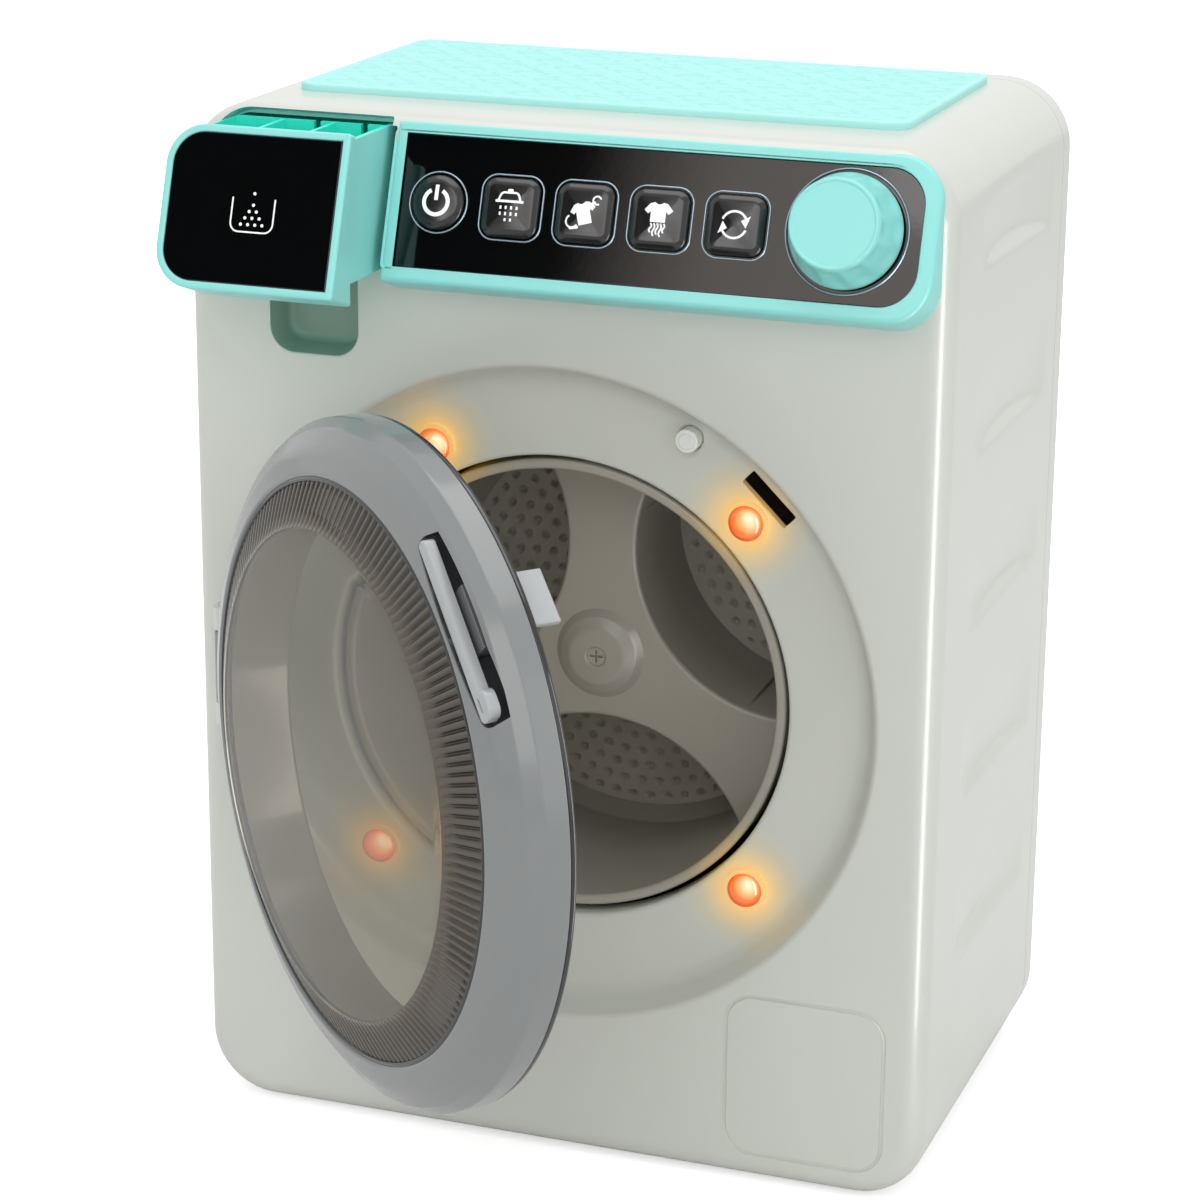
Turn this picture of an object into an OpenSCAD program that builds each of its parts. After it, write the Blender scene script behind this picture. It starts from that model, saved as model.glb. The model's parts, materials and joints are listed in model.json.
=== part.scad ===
// Toy washing machine: hinged porthole door, turning drum, pull-out drawer, tilted panel.
// Origin: centre of the base. X right, Y from front to back, Z up. Millimetres.

/* [Cabinet] */
// overall width of the cabinet
width = 200; // [180:1:220]
// overall depth of the cabinet without panel and door
depth = 125; // [115:1:140]
// height of the cabinet without the top mat
height = 271; // [260:1:290]
// wall thickness of the moulded shells
wall = 2.5; // [2:0.1:3]
// radius of the four corners seen from the front
corner_r = 18; // [14:1:24]
// radius of the front and rear edges
edge_r = 10; // [6:1:12]
// depth of the rear cover's rim
rear_rim = 12; // [10:1:16]

/* [Top mat] */
// half width of the mat
mat_half = 80.6; // [70:0.1:84]
// front edge of the mat behind the front plane
mat_front = 25.4; // [20:0.1:30]
// length of the mat from front to back
mat_len = 83.7; // [70:0.1:88]
// height of the mat above the cabinet
mat_rise = 2; // [1.5:0.1:3]

/* [Porthole] */
// sideways place of the porthole's centre
port_x = -2; // [-4:0.5:4]
// height of the porthole's centre below the panel's lower edge
port_drop = 107.3; // [106:0.1:110]
// radius of the recess at the front plane
recess_r = 86.5; // [85.5:0.1:88]
// radius of the recess floor
floor_r = 82.6; // [82.5:0.1:83.5]
// depth of the recess
recess_d = 9; // [8.5:0.1:10]
// radius of the opening into the drum
opening_r = 61.5; // [61:0.1:63]

/* [Drum] */
// outer radius of the drum
drum_r = 60; // [57:0.5:60.5]
// drum rim behind the recess floor
drum_gap = 2.5; // [2:0.1:4]
// room behind the drum for gears, motor and rear wall
drive_room = 47.5; // [46:0.5:50]
// wall thickness of the drum
drum_wall = 2; // [1.6:0.1:2.4]
// height of the three arms over the drum floor
arm_rise = 35; // [28:1:36]
// radius of each of the three pockets
pocket_r = 42.5; // [40:0.5:43]
// distance of the pockets from the drum axis
pocket_at = 60; // [58:0.5:62]
// radius of the drum shaft
shaft_r = 2.5; // [2:0.1:3]
// running clearance of turning shafts in their bushes
run_fit = 0.05; // [0.02:0.01:0.1]

/* [Drive] */
// module of the gear teeth
gear_mod = 1; // [1:0.1:1.2]
// teeth of the large gear on the drum shaft
gear_teeth = 48; // [44:1:50]
// teeth of the motor pinion
pinion_teeth = 12; // [10:1:14]
// width of the gears
gear_w = 5; // [4:0.5:6]
// radius of the motor can
motor_r = 12; // [10:0.5:13]
// length of the motor can
motor_len = 26; // [22:1:28]

/* [Door] */
// angle that the door stands open in the drawn pose
door_open = 40.1; // [30:0.1:50]
// hinge axis to the left of the porthole's centre
hinge_at = 88; // [87.6:0.1:88.4]
// hinge axis in front of the front plane
hinge_out = 4.4; // [4.2:0.1:5]
// outer radius of the door ring
ring_r = 84.6; // [83.5:0.1:85]
// radius of the hinge knuckles
knuckle_r = 2.4; // [2.2:0.1:2.6]
// radius of the crest between side band and face
crest_r = 82.4; // [81.6:0.1:82.8]
// radius of the ring's inner lip
lip_r = 71.2; // [70.5:0.1:71.6]
// how far the lip stands in front of the front plane
lip_out = 13.4; // [12.8:0.1:14]
// radius of the clear pane
pane_r = 60; // [58:0.5:61]
// height of the clear pane over the lip
pane_rise = 4; // [3:0.1:5]
// radius of the door's rear flange
flange_r = 82.4; // [81:0.1:82.6]
// inner radius of the door's liner tube
liner_r = 64.5; // [63:0.5:66]

/* [Latch] */
// angle of the latch and handle round the porthole
latch_angle = 45.5; // [40:0.5:50]
// distance of the latch slot from the porthole's centre
slot_at = 78.5; // [78.4:0.1:78.6]
// length of the latch slot
slot_len = 15.6; // [15:0.1:16.5]
// width of the latch slot
slot_w = 4.4; // [4.4:0.1:4.8]
// length of the handle bar
handle_len = 46; // [40:1:48]
// angle by which the handle bar lies below the latch
handle_turn = 2.7; // [0:0.1:3]
// travel of the handle
latch_travel = 1.5; // [1:0.1:1.6]

/* [Panel] */
// tilt of the control panel
panel_tilt = 19.1; // [18:0.1:20]
// lower edge of the panel below the top of the cabinet
panel_drop = 39.1; // [38.5:0.1:40]
// lower edge of the panel in front of the front plane
panel_out = 11.6; // [11.2:0.1:12.4]
// height of the panel along its slope
panel_len = 40.4; // [38:0.1:41]
// gap between the drawer front and the panel
panel_gap = 1.3; // [1:0.1:2]
// right edge of the panel inside the cabinet's side
panel_inset = 3.2; // [3:0.1:5]
// height of the button row along the slope
row_v = 20.5; // [19:0.1:22]
// power button behind the panel's left edge
power_inset = 13.2; // [13:0.1:14]
// gap between two square buttons
button_gap = 4.5; // [4:0.1:5]
// last button to knob
knob_gap = 27.3; // [27:0.1:28]
// radius of the power button
power_r = 6.8; // [6:0.1:7.1]
// clearance round each button
button_fit = 0.2; // [0.15:0.05:0.3]
// travel of the buttons
button_travel = 1.5; // [1:0.1:1.6]
// knob inside the cabinet's side
knob_inset = 25.3; // [25:0.1:26]
// radius of the knob at its base
knob_r = 14.2; // [13.4:0.1:14.4]
// height of the knob
knob_h = 12; // [10:0.5:13]

/* [Drawer] */
// drawer front inside the cabinet's side
drawer_inset = 8.5; // [8:0.1:10]
// width of the drawer front
drawer_w = 48; // [46:0.1:49]
// how far the drawer is pulled out in the drawn pose
drawer_out = 25; // [10:1:34]
// length of the tray behind the drawer front
tray_len = 48; // [44:1:50]
// depth of the cups behind the front plane when shut
cup_depth = 28; // [26:0.5:30]
// wall thickness of the tray
tray_wall = 1.5; // [1.2:0.1:2]

/* [Power] */
// radius of one AA cell
cell_r = 7.1; // [7:0.05:7.2]
// length of one AA cell
cell_len = 50; // [49.5:0.1:50.5]

/* [Hidden] */
$fn = 64;
e = 0.01;
y_f = -depth / 2;
y_b = depth / 2;
y_s = y_b - rear_rim;
panel_z = height - panel_drop;
port_z = panel_z - port_drop;
drawer_x0 = -width / 2 + drawer_inset;
drawer_x1 = drawer_x0 + drawer_w;
panel_x0 = drawer_x1 + panel_gap;
panel_x1 = width / 2 - panel_inset;
knob_x = width / 2 - knob_inset;
power_x = panel_x0 + power_inset;
pitch = (knob_x - knob_gap - power_x) / 4;
button_w = pitch - button_gap;
hinge_x = port_x - hinge_at;
recess_y = y_f + recess_d;
drum_y0 = recess_y + drum_gap;
drum_y1 = y_b - drive_room;
drum_len = drum_y1 - drum_y0;
arm_y = drum_y1 - drum_wall - arm_rise;
hinge_y = y_f - hinge_out;
lip_y = y_f - lip_out;
flange_y = y_f + 4.4;
crest_y = y_f - 6.6;
fascia_v0 = 4;
fascia_v1 = panel_len - 3.4;
fascia_x0 = panel_x0 + 1.2;
fascia_x1 = panel_x1 - 4;
buttons = [for (i = [0:4]) power_x + pitch * i];
tray_x0 = drawer_x0 + 4;
tray_x1 = drawer_x1 - 1;
tray_z0 = panel_z + 1.3;
tray_z1 = panel_z + 35.9;
cup_w = (tray_x1 - tray_x0 - 2 * tray_wall - 2.4) / 3;
cassette_z1 = panel_z + 36.3;
front_t = 3.2;
gear_y = drum_y1 + 2.5;
plate_y = gear_y + gear_w + 1.5;
gear_dist = gear_mod * (gear_teeth + pinion_teeth) / 2 + 0.15;
plate_w = drum_r - 17;
plate_lo = drum_r - 23;
plate_hi = gear_dist + 20.85;
tie_at = lip_r + 3.8;
cells = 3;
cell_pitch = 2 * cell_r + 0.6;
box_z0 = 12;
box_z1 = box_z0 + cells * cell_pitch + 1.8;
box_half = cell_len / 2 + 4.5;
box_y = y_b - wall - 2 * cell_r - 2;
led_at = 70;
led_angles = [45, -43, -135, 119];
sensor_p = [port_x + 34.5, port_z + 69.6];
speaker_p = [width / 2 - 42, height - 49];
led_r = 4;
bar_r = 73;
handle_off = bar_r * sin(handle_turn);
grip_x = drawer_x0 + 26.5;
well_r0 = 72.6;
well_r1 = 80.2;
tie_angles = [0, 90, 135, 225, 300];

C_BODY = [0.80, 0.83, 0.79];
C_AQUA = [0.36, 0.80, 0.75];
C_BLACK = [0.04, 0.04, 0.05];
C_GREY = [0.55, 0.57, 0.60];
C_DRUM = [0.38, 0.36, 0.34];
C_STEEL = [0.75, 0.76, 0.78];

// rounded rectangle from (x0, y0) to (x1, y1)
module rr(x0, y0, x1, y1, r) {
  translate([x0 + r, y0]) square([x1 - x0 - 2 * r, y1 - y0]);
  translate([x0, y0 + r]) square([x1 - x0, y1 - y0 - 2 * r]);
  for (x = [x0 + r, x1 - r], y = [y0 + r, y1 - r]) translate([x, y]) circle(r);
}
// prism along Y from y0 to y1 whose sketch is (x, z)
module along_y(y0, y1) translate([0, y1, 0]) rotate([90, 0, 0]) linear_extrude(y1 - y0) children();
// a disc or ring along Y
module disc_y(r, y0, y1, x = 0, z = 0) translate([x, y0, z]) rotate([-90, 0, 0]) cylinder(r = r, h = y1 - y0);
// body of the cabinet, shrunk by s on every side
module body(s) {
  intersection() {
    along_y(y_f + s, y_b - s) rr(-width / 2 + s, s, width / 2 - s, height - s, corner_r - s);
    translate([0, 0, s]) linear_extrude(height - 2 * s)
      rr(-width / 2 + s, y_f + s, width / 2 - s, y_b - s, edge_r - s);
    translate([-width / 2 + s, 0, 0]) rotate([90, 0, 90]) linear_extrude(width - 2 * s)
      rr(y_f + s, s, y_b - s, height - s, edge_r - s);
  }
}
module slab(y0, y1) translate([-width, y0, -10]) cube([2 * width, y1 - y0, height + 20]);
// frame of the tilted panel: x, up along the slope, outward
module tilt() translate([0, y_f - panel_out, panel_z]) rotate([90 - panel_tilt, 0, 0]) children();
module round_port() translate([port_x, 0, port_z]) children();
module at_angle(a, r) translate([port_x + r * cos(a), 0, port_z + r * sin(a)]) children();
// the door is modelled shut and turned open here
module swung() translate([hinge_x, hinge_y, 0]) rotate([0, 0, -door_open]) translate([-hinge_x, -hinge_y, 0])
  children();
// revolve an (r, y) sketch about the porthole axis
module lathe() translate([port_x, 0, port_z]) rotate([-90, 0, 0]) rotate_extrude($fn = 128) children();
// revolve an (r, n) sketch about the knob axis
module knob_frame() tilt() translate([knob_x, row_v + 0.6, 0]) children();

screw_x = width / 2 - 12;
screw_spots = [[-screw_x, 30], [screw_x, 30], [-screw_x, port_z + 10.4], [screw_x, port_z + 10.4],
  [8 - screw_x, height - 19], [screw_x - 8, height - 19]];
module boss_y(x, z, r, y0, y1) disc_y(r, y0, y1, x, z);

module cabinet() color(C_BODY) difference() {
  union() {
    difference() {
      body(0);
      slab(y_s, y_b + 5);
      difference() { body(wall); slab(y_b - wall, y_b + 5); }
    }
    // recess pan
    intersection() {
      union() {
        disc_y(recess_r + 1.5, y_f + e, recess_y + wall, port_x, port_z);
        disc_y(opening_r + 2, recess_y, recess_y + wall + 5, port_x, port_z);
      }
      body(0);
    }
    // cup of the finger recess under the drawer
    along_y(y_f + 1, y_f + 10.5) rr(grip_x - 13.5, panel_z - 24.4, grip_x + 13.5, panel_z - 1.4, 8);
    for (p = screw_spots) {
      boss_y(p[0], p[1], 3.6, y_s - 22, y_s);
      translate([p[0] < 0 ? -width / 2 + 1 : p[0], y_s - 22, p[1] - 1]) cube([width / 2 - 1 - abs(p[0]), 22, 2]);
    }
  }
  // recess cavity and opening
  translate([port_x, y_f - e, port_z]) rotate([-90, 0, 0])
    cylinder(r1 = recess_r, r2 = floor_r, h = recess_d + e, $fn = 128);
  disc_y(opening_r, y_f, recess_y + 20, port_x, port_z);
  // drawer and panel openings
  drawer_pocket();
  translate([tray_x0 - 1.2, y_f - 5, tray_z0 - 0.3]) cube([tray_x1 - tray_x0 + 2.4, 13, cassette_z1 - tray_z0 + 0.3]);
  tilt() translate([0, 0, -24]) linear_extrude(40) bezel_outline(1);
  // finger recess
  along_y(y_f - 1, y_f + 9) rr(grip_x - 12, panel_z - 22.9, grip_x + 12, panel_z + 4.1, 6.5);
  // latch slot, lamps, sensor
  at_angle(latch_angle, slot_at) rotate([0, -latch_angle, 0])
    translate([-slot_w / 2, recess_y - 1, -slot_len / 2]) cube([slot_w, wall + 3, slot_len]);
  for (a = led_angles) at_angle(a, led_at) disc_y(led_r + 0.1, recess_y - 1, recess_y + wall + 1);
  disc_y(3.1, recess_y - 1, recess_y + wall + 1, sensor_p[0], sensor_p[1]);
  // filter hatch groove
  along_y(y_f - 1, y_f + 0.7) translate([width / 2 - 10, 7]) difference() { rr(-43, 0, 0, 45, 8); rr(-42, 1, -1, 44, 7); }
  // side reliefs
  for (s = [-1, 1], i = [0:4]) translate([s * width / 2, 3, height * (0.2 + i / 6)]) rotate([90, 0, 90])
    translate([0, 0, -0.8]) linear_extrude(1.6)
      polygon([[-32, -3], [20, -8], [33, -3], [33, 2], [-20, 8], [-32, 3]]);
  // mat pegs and board room
  for (x = [10.6 - mat_half, mat_half - 10.6], y = [y_f + mat_front + 12, y_f + mat_front + mat_len - 12]) translate([x, y, height - 5]) cylinder(r = 2.1, h = 10, $fn = 32);
  for (p = screw_spots) boss_y(p[0], p[1], 1.25, y_s - 14, y_s + 1);
}
module rear_cover() color(C_BODY) difference() {
  union() {
    difference() {
      body(0);
      slab(y_f - 5, y_s);
      difference() { body(wall); slab(y_b - wall, y_b + 5); }
    }
    for (p = screw_spots) boss_y(p[0], p[1], 4.2, y_s, y_b - wall + e);
    for (x = [7 - plate_w, plate_w - 7], z = [7 - plate_lo, plate_hi - 7]) boss_y(port_x + x, port_z + z, 4, plate_y + 2.5, y_b - wall + e);
    // rim that holds the speaker
    difference() {
      disc_y(17, y_b - wall - 4, y_b - wall + e, speaker_p[0], speaker_p[1]);
      disc_y(15.2, y_b - wall - 5, y_b - wall, speaker_p[0], speaker_p[1]);
    }
  }
  for (p = screw_spots) { boss_y(p[0], p[1], 1.7, y_s - 1, y_b + 1); boss_y(p[0], p[1], 3.2, y_b - 6, y_b + 1); }
  for (x = [7 - plate_w, plate_w - 7], z = [7 - plate_lo, plate_hi - 7]) boss_y(port_x + x, port_z + z, 1.25, plate_y, plate_y + 16);
  translate([-box_half - 1, y_b - wall - 1, box_z0 - 1]) cube([2 * box_half + 2, wall + 2, box_z1 - box_z0 + 2]);
  for (i = [-2:2], j = [-2:2]) if (abs(i) + abs(j) < 4) boss_y(speaker_p[0] + 5 * i, speaker_p[1] + 5 * j, 1.3, y_b - wall - 1, y_b + 1);
  for (i = [0:4]) translate([-30, y_b - wall - 1, height - 81 + 7 * i]) cube([60, wall + 2, 2.4]);
}
module case_screws() color(C_STEEL) for (p = screw_spots) difference() {
  union() { boss_y(p[0], p[1], 2.8, y_b - 6, y_b - 4.2); boss_y(p[0], p[1], 1.25, y_s - 12, y_b - 6); }
  for (a = [0, 90]) translate([p[0], y_b - 4.6, p[1]]) rotate([0, a, 0]) translate([-1.6, 0, -0.3]) cube([3.2, 1, 0.6]);
}
module top_mat() color(C_AQUA) {
  y0 = y_f + mat_front;
  translate([0, 0, height]) linear_extrude(mat_rise) rr(-mat_half, y0, mat_half, y0 + mat_len, 5);
  for (x = [10.6 - mat_half, mat_half - 10.6], y = [y_f + mat_front + 12, y_f + mat_front + mat_len - 12]) translate([x, y, height - 3.5]) cylinder(r = 2, h = 3.5 + e, $fn = 32);
}

// ---- control panel ----
module bezel_outline(s) {
  rr(panel_x0 + s, s, panel_x1 - s, panel_len - s, 11 - s);
  translate([panel_x0 + s, s]) square([30, panel_len - 2 * s]);
}
module fascia_outline(s) {
  rr(fascia_x0 + s, fascia_v0 + s, fascia_x1 - s, fascia_v1 - s, 9);
  translate([fascia_x0 + s, fascia_v0 + s]) square([30, fascia_v1 - fascia_v0 - 2 * s]);
}
module panel_bezel() color(C_AQUA) difference() {
  union() {
    difference() {
      tilt() translate([0, 0, -24]) linear_extrude(24) bezel_outline(0);
      body(0);
    }
    tilt() translate([0, 0, -9]) linear_extrude(9) bezel_outline(2.2);
  }
  tilt() translate([0, 0, -2.4]) linear_extrude(4) fascia_outline(-0.1);
  tilt() translate([0, 0, -26]) linear_extrude(25) fascia_outline(2);
}
module panel_fascia() color(C_BLACK) tilt() difference() {
  union() {
    translate([0, 0, -2.4]) linear_extrude(1.6) fascia_outline(0);
    for (x = [fascia_x0 + 5.5, knob_x - 13.7, knob_x + 7.8], v = [8.7, 31.8])
      translate([x, v, -10.4]) cylinder(r = 1.8, h = 8.1, $fn = 32);
  }
  for (i = [1:4]) translate([buttons[i], row_v, -3]) linear_extrude(4)
    rr(-button_w / 2 - button_fit, -button_w / 2 - button_fit, button_w / 2 + button_fit, button_w / 2 + button_fit, 3.4);
  translate([buttons[0], row_v, -3]) cylinder(r = power_r + button_fit, h = 4);
  translate([knob_x, row_v + 0.6, -3]) cylinder(r = 3.4, h = 4);
}
module button_rims() color(C_STEEL) tilt() translate([0, row_v, -0.8]) {
  for (i = [1:4]) translate([buttons[i], 0, 0]) linear_extrude(0.4) difference() {
    rr(-button_w / 2 - 1.1, -button_w / 2 - 1.1, button_w / 2 + 1.1, button_w / 2 + 1.1, 4.2);
    rr(-button_w / 2 - 0.4, -button_w / 2 - 0.4, button_w / 2 + 0.4, button_w / 2 + 0.4, 3.6);
  }
  translate([buttons[0], 0, 0]) linear_extrude(0.4) difference() { circle(power_r + 1.2); circle(power_r + 0.4); }
}
module button(i) color(C_BLACK) tilt() translate([buttons[i], row_v, 0]) {
  if (i == 0) {
    translate([0, 0, -2.6]) cylinder(r = power_r, h = 3.4);
    translate([0, 0, 0.8 - e]) cylinder(r1 = power_r - 0.2, r2 = power_r - 1.4, h = 0.5);
    translate([0, 0, -3.6]) cylinder(r = power_r + 1.4, h = 1);
  } else {
    w = button_w / 2;
    translate([0, 0, -2.6]) linear_extrude(3.2) rr(-w, -w, w, w, 3.2);
    translate([0, 0, 0.6 - e]) linear_extrude(0.5) rr(-w + 0.8, -w + 0.8, w - 0.8, w - 0.8, 2.8);
    translate([0, 0, -3.6]) linear_extrude(1) rr(-w - 1, -w - 1, w + 1, w + 1, 3);
  }
  translate([0, 0, -5.9]) cylinder(r = 1.8, h = 2.4, $fn = 32);
}
module power_button() button(0);
module shower_button() button(1);
module shirt_button() button(2);
module steam_button() button(3);
module cycle_button() button(4);
// stacked rings stand for the coils of each return spring
module ring_spring(r, wire, z0, z1, n) {
  step = (z1 - z0 - 2 * wire) / (n - 1);
  for (i = [0:n - 1]) translate([0, 0, z0 + wire + step * i]) rotate_extrude($fn = 24)
    translate([r, 0]) circle(wire, $fn = 12);
  for (a = [0, 180]) rotate([0, 0, a]) translate([r, 0, z0 + wire]) cylinder(r = wire * 0.8, h = z1 - z0 - 2 * wire, $fn = 12);
}
module button_springs() color(C_STEEL) tilt() for (i = [0:4])
  translate([buttons[i], row_v, 0]) ring_spring(4.6, 0.35, -10.4, -3.65, 4);
module knob() color(C_AQUA) knob_frame() {
  translate([0, 0, 0.3]) cylinder(r1 = knob_r, r2 = knob_r - 3.6, h = knob_h - 1.3);
  translate([0, 0, knob_h - 1 - e]) cylinder(r1 = knob_r - 3.8, r2 = knob_r - 4.8, h = 1);
  translate([0, 0, -9]) cylinder(r = 3, h = 9.4, $fn = 32);
}
module knob_ring() color(C_STEEL) knob_frame() translate([0, 0, -0.8]) linear_extrude(0.8) difference() {
  circle(knob_r + 1.1);
  circle(knob_r + 0.4);
}
module knob_clip() color(C_STEEL) knob_frame() translate([0, 0, -3.6]) linear_extrude(0.8) difference() {
  circle(4.8);
  circle(3, $fn = 32);
}
module control_board() color([0.10, 0.35, 0.22]) tilt() {
  translate([fascia_x0 + 2.5, 6.5, -12]) cube([fascia_x1 - fascia_x0 - 5, 28, 1.6]);
  translate([knob_x - 24.7, 24, -13.6]) cylinder(r = 5, h = 1.6 + e);
}
module board_switches() color(C_BLACK) tilt() for (i = [0:4]) translate([buttons[i], row_v, -10.4]) {
  translate([-3, -3, 0]) cube([6, 6, 2]);
  cylinder(r = 1.6, h = 2.9, $fn = 32);
}
module rotary_switch() color(C_BLACK) knob_frame() difference() {
  translate([-6, -6, -10.4]) cube([12, 12, 4.2]);
  translate([0, 0, -9.4]) cylinder(r = 3 + run_fit, h = 6, $fn = 32);
}

// ---- drawer ----
module drawer_pose() translate([0, -drawer_out, 0]) children();
module drawer_outline(s) {
  rr(drawer_x0 + s, s, drawer_x1 - s, panel_len - s, 10 - s);
  translate([drawer_x1 - 20, s]) square([20 - s, panel_len - 2 * s]);
}
module drawer_pocket() tilt() translate([0, 0, -front_t - 1]) linear_extrude(40) drawer_outline(-0.4);
module drawer_front() color(C_AQUA) drawer_pose() {
  tilt() difference() {
    translate([0, 0, -front_t]) linear_extrude(front_t) drawer_outline(0);
    translate([0, 0, -1.6]) linear_extrude(3) drawer_outline(1.8);
  }
  difference() {
    tilt() translate([0, 0, -24]) linear_extrude(24 - front_t + e) difference() {
      drawer_outline(0);
      drawer_outline(2.4);
    }
    translate([0, -0.3, 0]) body(0);
    tray_block();
  }
}
// the tray's outside, its upper corner rounded to clear the cabinet's
module tray_block() intersection() {
  translate([tray_x0, y_f - panel_out, tray_z0])
    cube([tray_x1 - tray_x0, panel_out - 0.3 + tray_len, tray_z1 - tray_z0]);
  along_y(y_f - 40, y_b) rr(-width / 2 + wall + 0.3, 0, width / 2, height - wall - 0.3, corner_r - wall - 0.3);
}
module drawer_insert() color(C_BLACK) drawer_pose() tilt() translate([0, 0, -1.6]) linear_extrude(1.4)
  drawer_outline(1.9);
module drawer_tray() color(C_AQUA) drawer_pose() {
  y0 = y_f - panel_out;
  y1 = y_f - 0.3 + tray_len;
  ym = y_f + cup_depth;
  w = tray_wall;
  difference() {
    tray_block();
    for (i = [0:2]) translate([tray_x0 + w + i * (cup_w + 1.2), y0 - 1, tray_z0 + w]) cube([cup_w, ym - y0 + 1 - w, 50]);
    // slots in the cups' rear wall
    for (x = [7.4, 20.1]) translate([tray_x1 - x, ym - w - 1, tray_z1 - 14]) cube([1.8, w + 2, 20]);
    // store behind the cups
    translate([tray_x0 + w, ym, tray_z0 + w]) cube([tray_x1 - tray_x0 - 2 * w, y1 - ym - w, 50]);
    tilt() translate([-width, -panel_len, -front_t]) cube([2 * width, 4 * panel_len, depth / 2]);
  }
  for (x = [tray_x0 - 0.8, tray_x1 - e]) translate([x, y1 - 4, tray_z0 + 6]) cube([0.8 + e, 4, 8]);
}
module drawer_cassette() color(C_AQUA) {
  x0 = tray_x0 - 1.2;
  x1 = tray_x1 + 1.2;
  z0 = tray_z0 - 0.3;
  difference() {
    intersection() {
      translate([x0 - 1, y_f + wall, z0 - 1]) cube([x1 - x0 + 2, tray_len + 4, cassette_z1 - z0 + 2]);
      body(wall + 0.05);
    }
    translate([x0, y_f, z0]) cube([x1 - x0, tray_len + 5, cassette_z1 - z0 + 2]);
    drawer_pocket();
  }
  for (x = [x0 - e, x1 - 0.6]) translate([x, y_f + wall, tray_z0 + 6]) cube([0.6 + e, 2, 8]);
}

// ---- recess fittings ----
module led_lenses() color([1, 0.45, 0.1]) for (a = led_angles) at_angle(a, led_at) {
  disc_y(led_r, recess_y, recess_y + wall);
  translate([0, recess_y + e, 0]) rotate([90, 0, 0]) rotate_extrude() intersection() {
    translate([0, -0.6]) circle(led_r);
    square(led_r);
  }
  disc_y(led_r + 1.5, recess_y + wall, recess_y + wall + 1);
}
module led_boards() color([0.10, 0.35, 0.22]) for (a = led_angles) at_angle(a, led_at)
  disc_y(led_r + 1.5, recess_y + wall + 1, recess_y + wall + 2.6);
module door_sensor() color([0.92, 0.93, 0.92]) translate([sensor_p[0], 0, sensor_p[1]]) {
  disc_y(3, recess_y - 3.8, recess_y + wall + 0.4);
  disc_y(4.2, recess_y + wall + 0.3, recess_y + wall + 1.3);
  disc_y(1.2, recess_y + wall + 1.2, recess_y + wall + 3);
}
module sensor_spring() color(C_STEEL) translate([sensor_p[0], 0, sensor_p[1]]) rotate([-90, 0, 0])
  ring_spring(2.6, 0.35, recess_y + wall + 1.35, recess_y + wall + 6.5, 4);
module sensor_switch() color(C_BLACK) translate([sensor_p[0], 0, sensor_p[1]]) difference() {
  translate([-5, recess_y + wall, -5]) cube([10, 8.5, 10]);
  disc_y(4.5, recess_y, recess_y + wall + 6.5);
}

// ---- door ----
module hinge_bracket() color(C_BODY) difference() {
  for (z = [port_z - 16, port_z + 10]) {
    translate([hinge_x, hinge_y, z]) cylinder(r = knuckle_r, h = 6, $fn = 32);
    translate([hinge_x - knuckle_r, hinge_y, z]) cube([2 * knuckle_r, 14, 6]);
  }
  body(0);
  slab(y_f + 1.5, y_b);
  translate([hinge_x, hinge_y, port_z - 30]) cylinder(r = 1.25, h = 60, $fn = 32);
}
module hinge_pin() color(C_STEEL) translate([hinge_x, hinge_y, port_z - 17]) cylinder(r = 1.25, h = 34, $fn = 32);
module door_ring() color(C_GREY) swung() difference() {
  union() {
    difference() {
      lathe() polygon([[lip_r, lip_y], [lip_r + 6.4, lip_y + 2.4], [crest_r, crest_y - 1], [ring_r - 0.5, crest_y + 1.2], [ring_r, crest_y + 3],
        [ring_r, flange_y - 1], [flange_r - 0.4, flange_y - 1], [flange_r - 0.4, crest_y + 3],
        [crest_r - 1.2, crest_y + 1.2], [lip_r + 1.8, lip_y + 3.2], [lip_r + 1.8, lip_y + 4.6], [lip_r, lip_y + 4.6]]);
      handle_window();
    }
    // well behind the handle
    intersection() {
      difference() { handle_well(1.4); handle_well(0); }
      lathe() polygon([[lip_r, lip_y + 0.6], [crest_r - 0.2, crest_y - 0.2], [flange_r - 0.3, flange_y - 1],
        [lip_r + 1, flange_y - 1]]);
    }
    // hinge knuckle and its arm
    translate([hinge_x, hinge_y, port_z - 9.4]) cylinder(r = knuckle_r, h = 18.8, $fn = 32);
    difference() {
      translate([hinge_x, hinge_y - 0.5, port_z - 9.4]) cube([9, 4, 18.8]);
      disc_y(flange_r + 0.2, y_f - 50, y_b, port_x, port_z);
    }
  }
  translate([hinge_x, hinge_y, port_z - 30]) cylinder(r = 1.25 + run_fit, h = 60, $fn = 32);
}
// turns children to the latch: X outward, Z along the handle
module latch_frame() at_angle(latch_angle, 0) rotate([0, -latch_angle, 0]) children();
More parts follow.
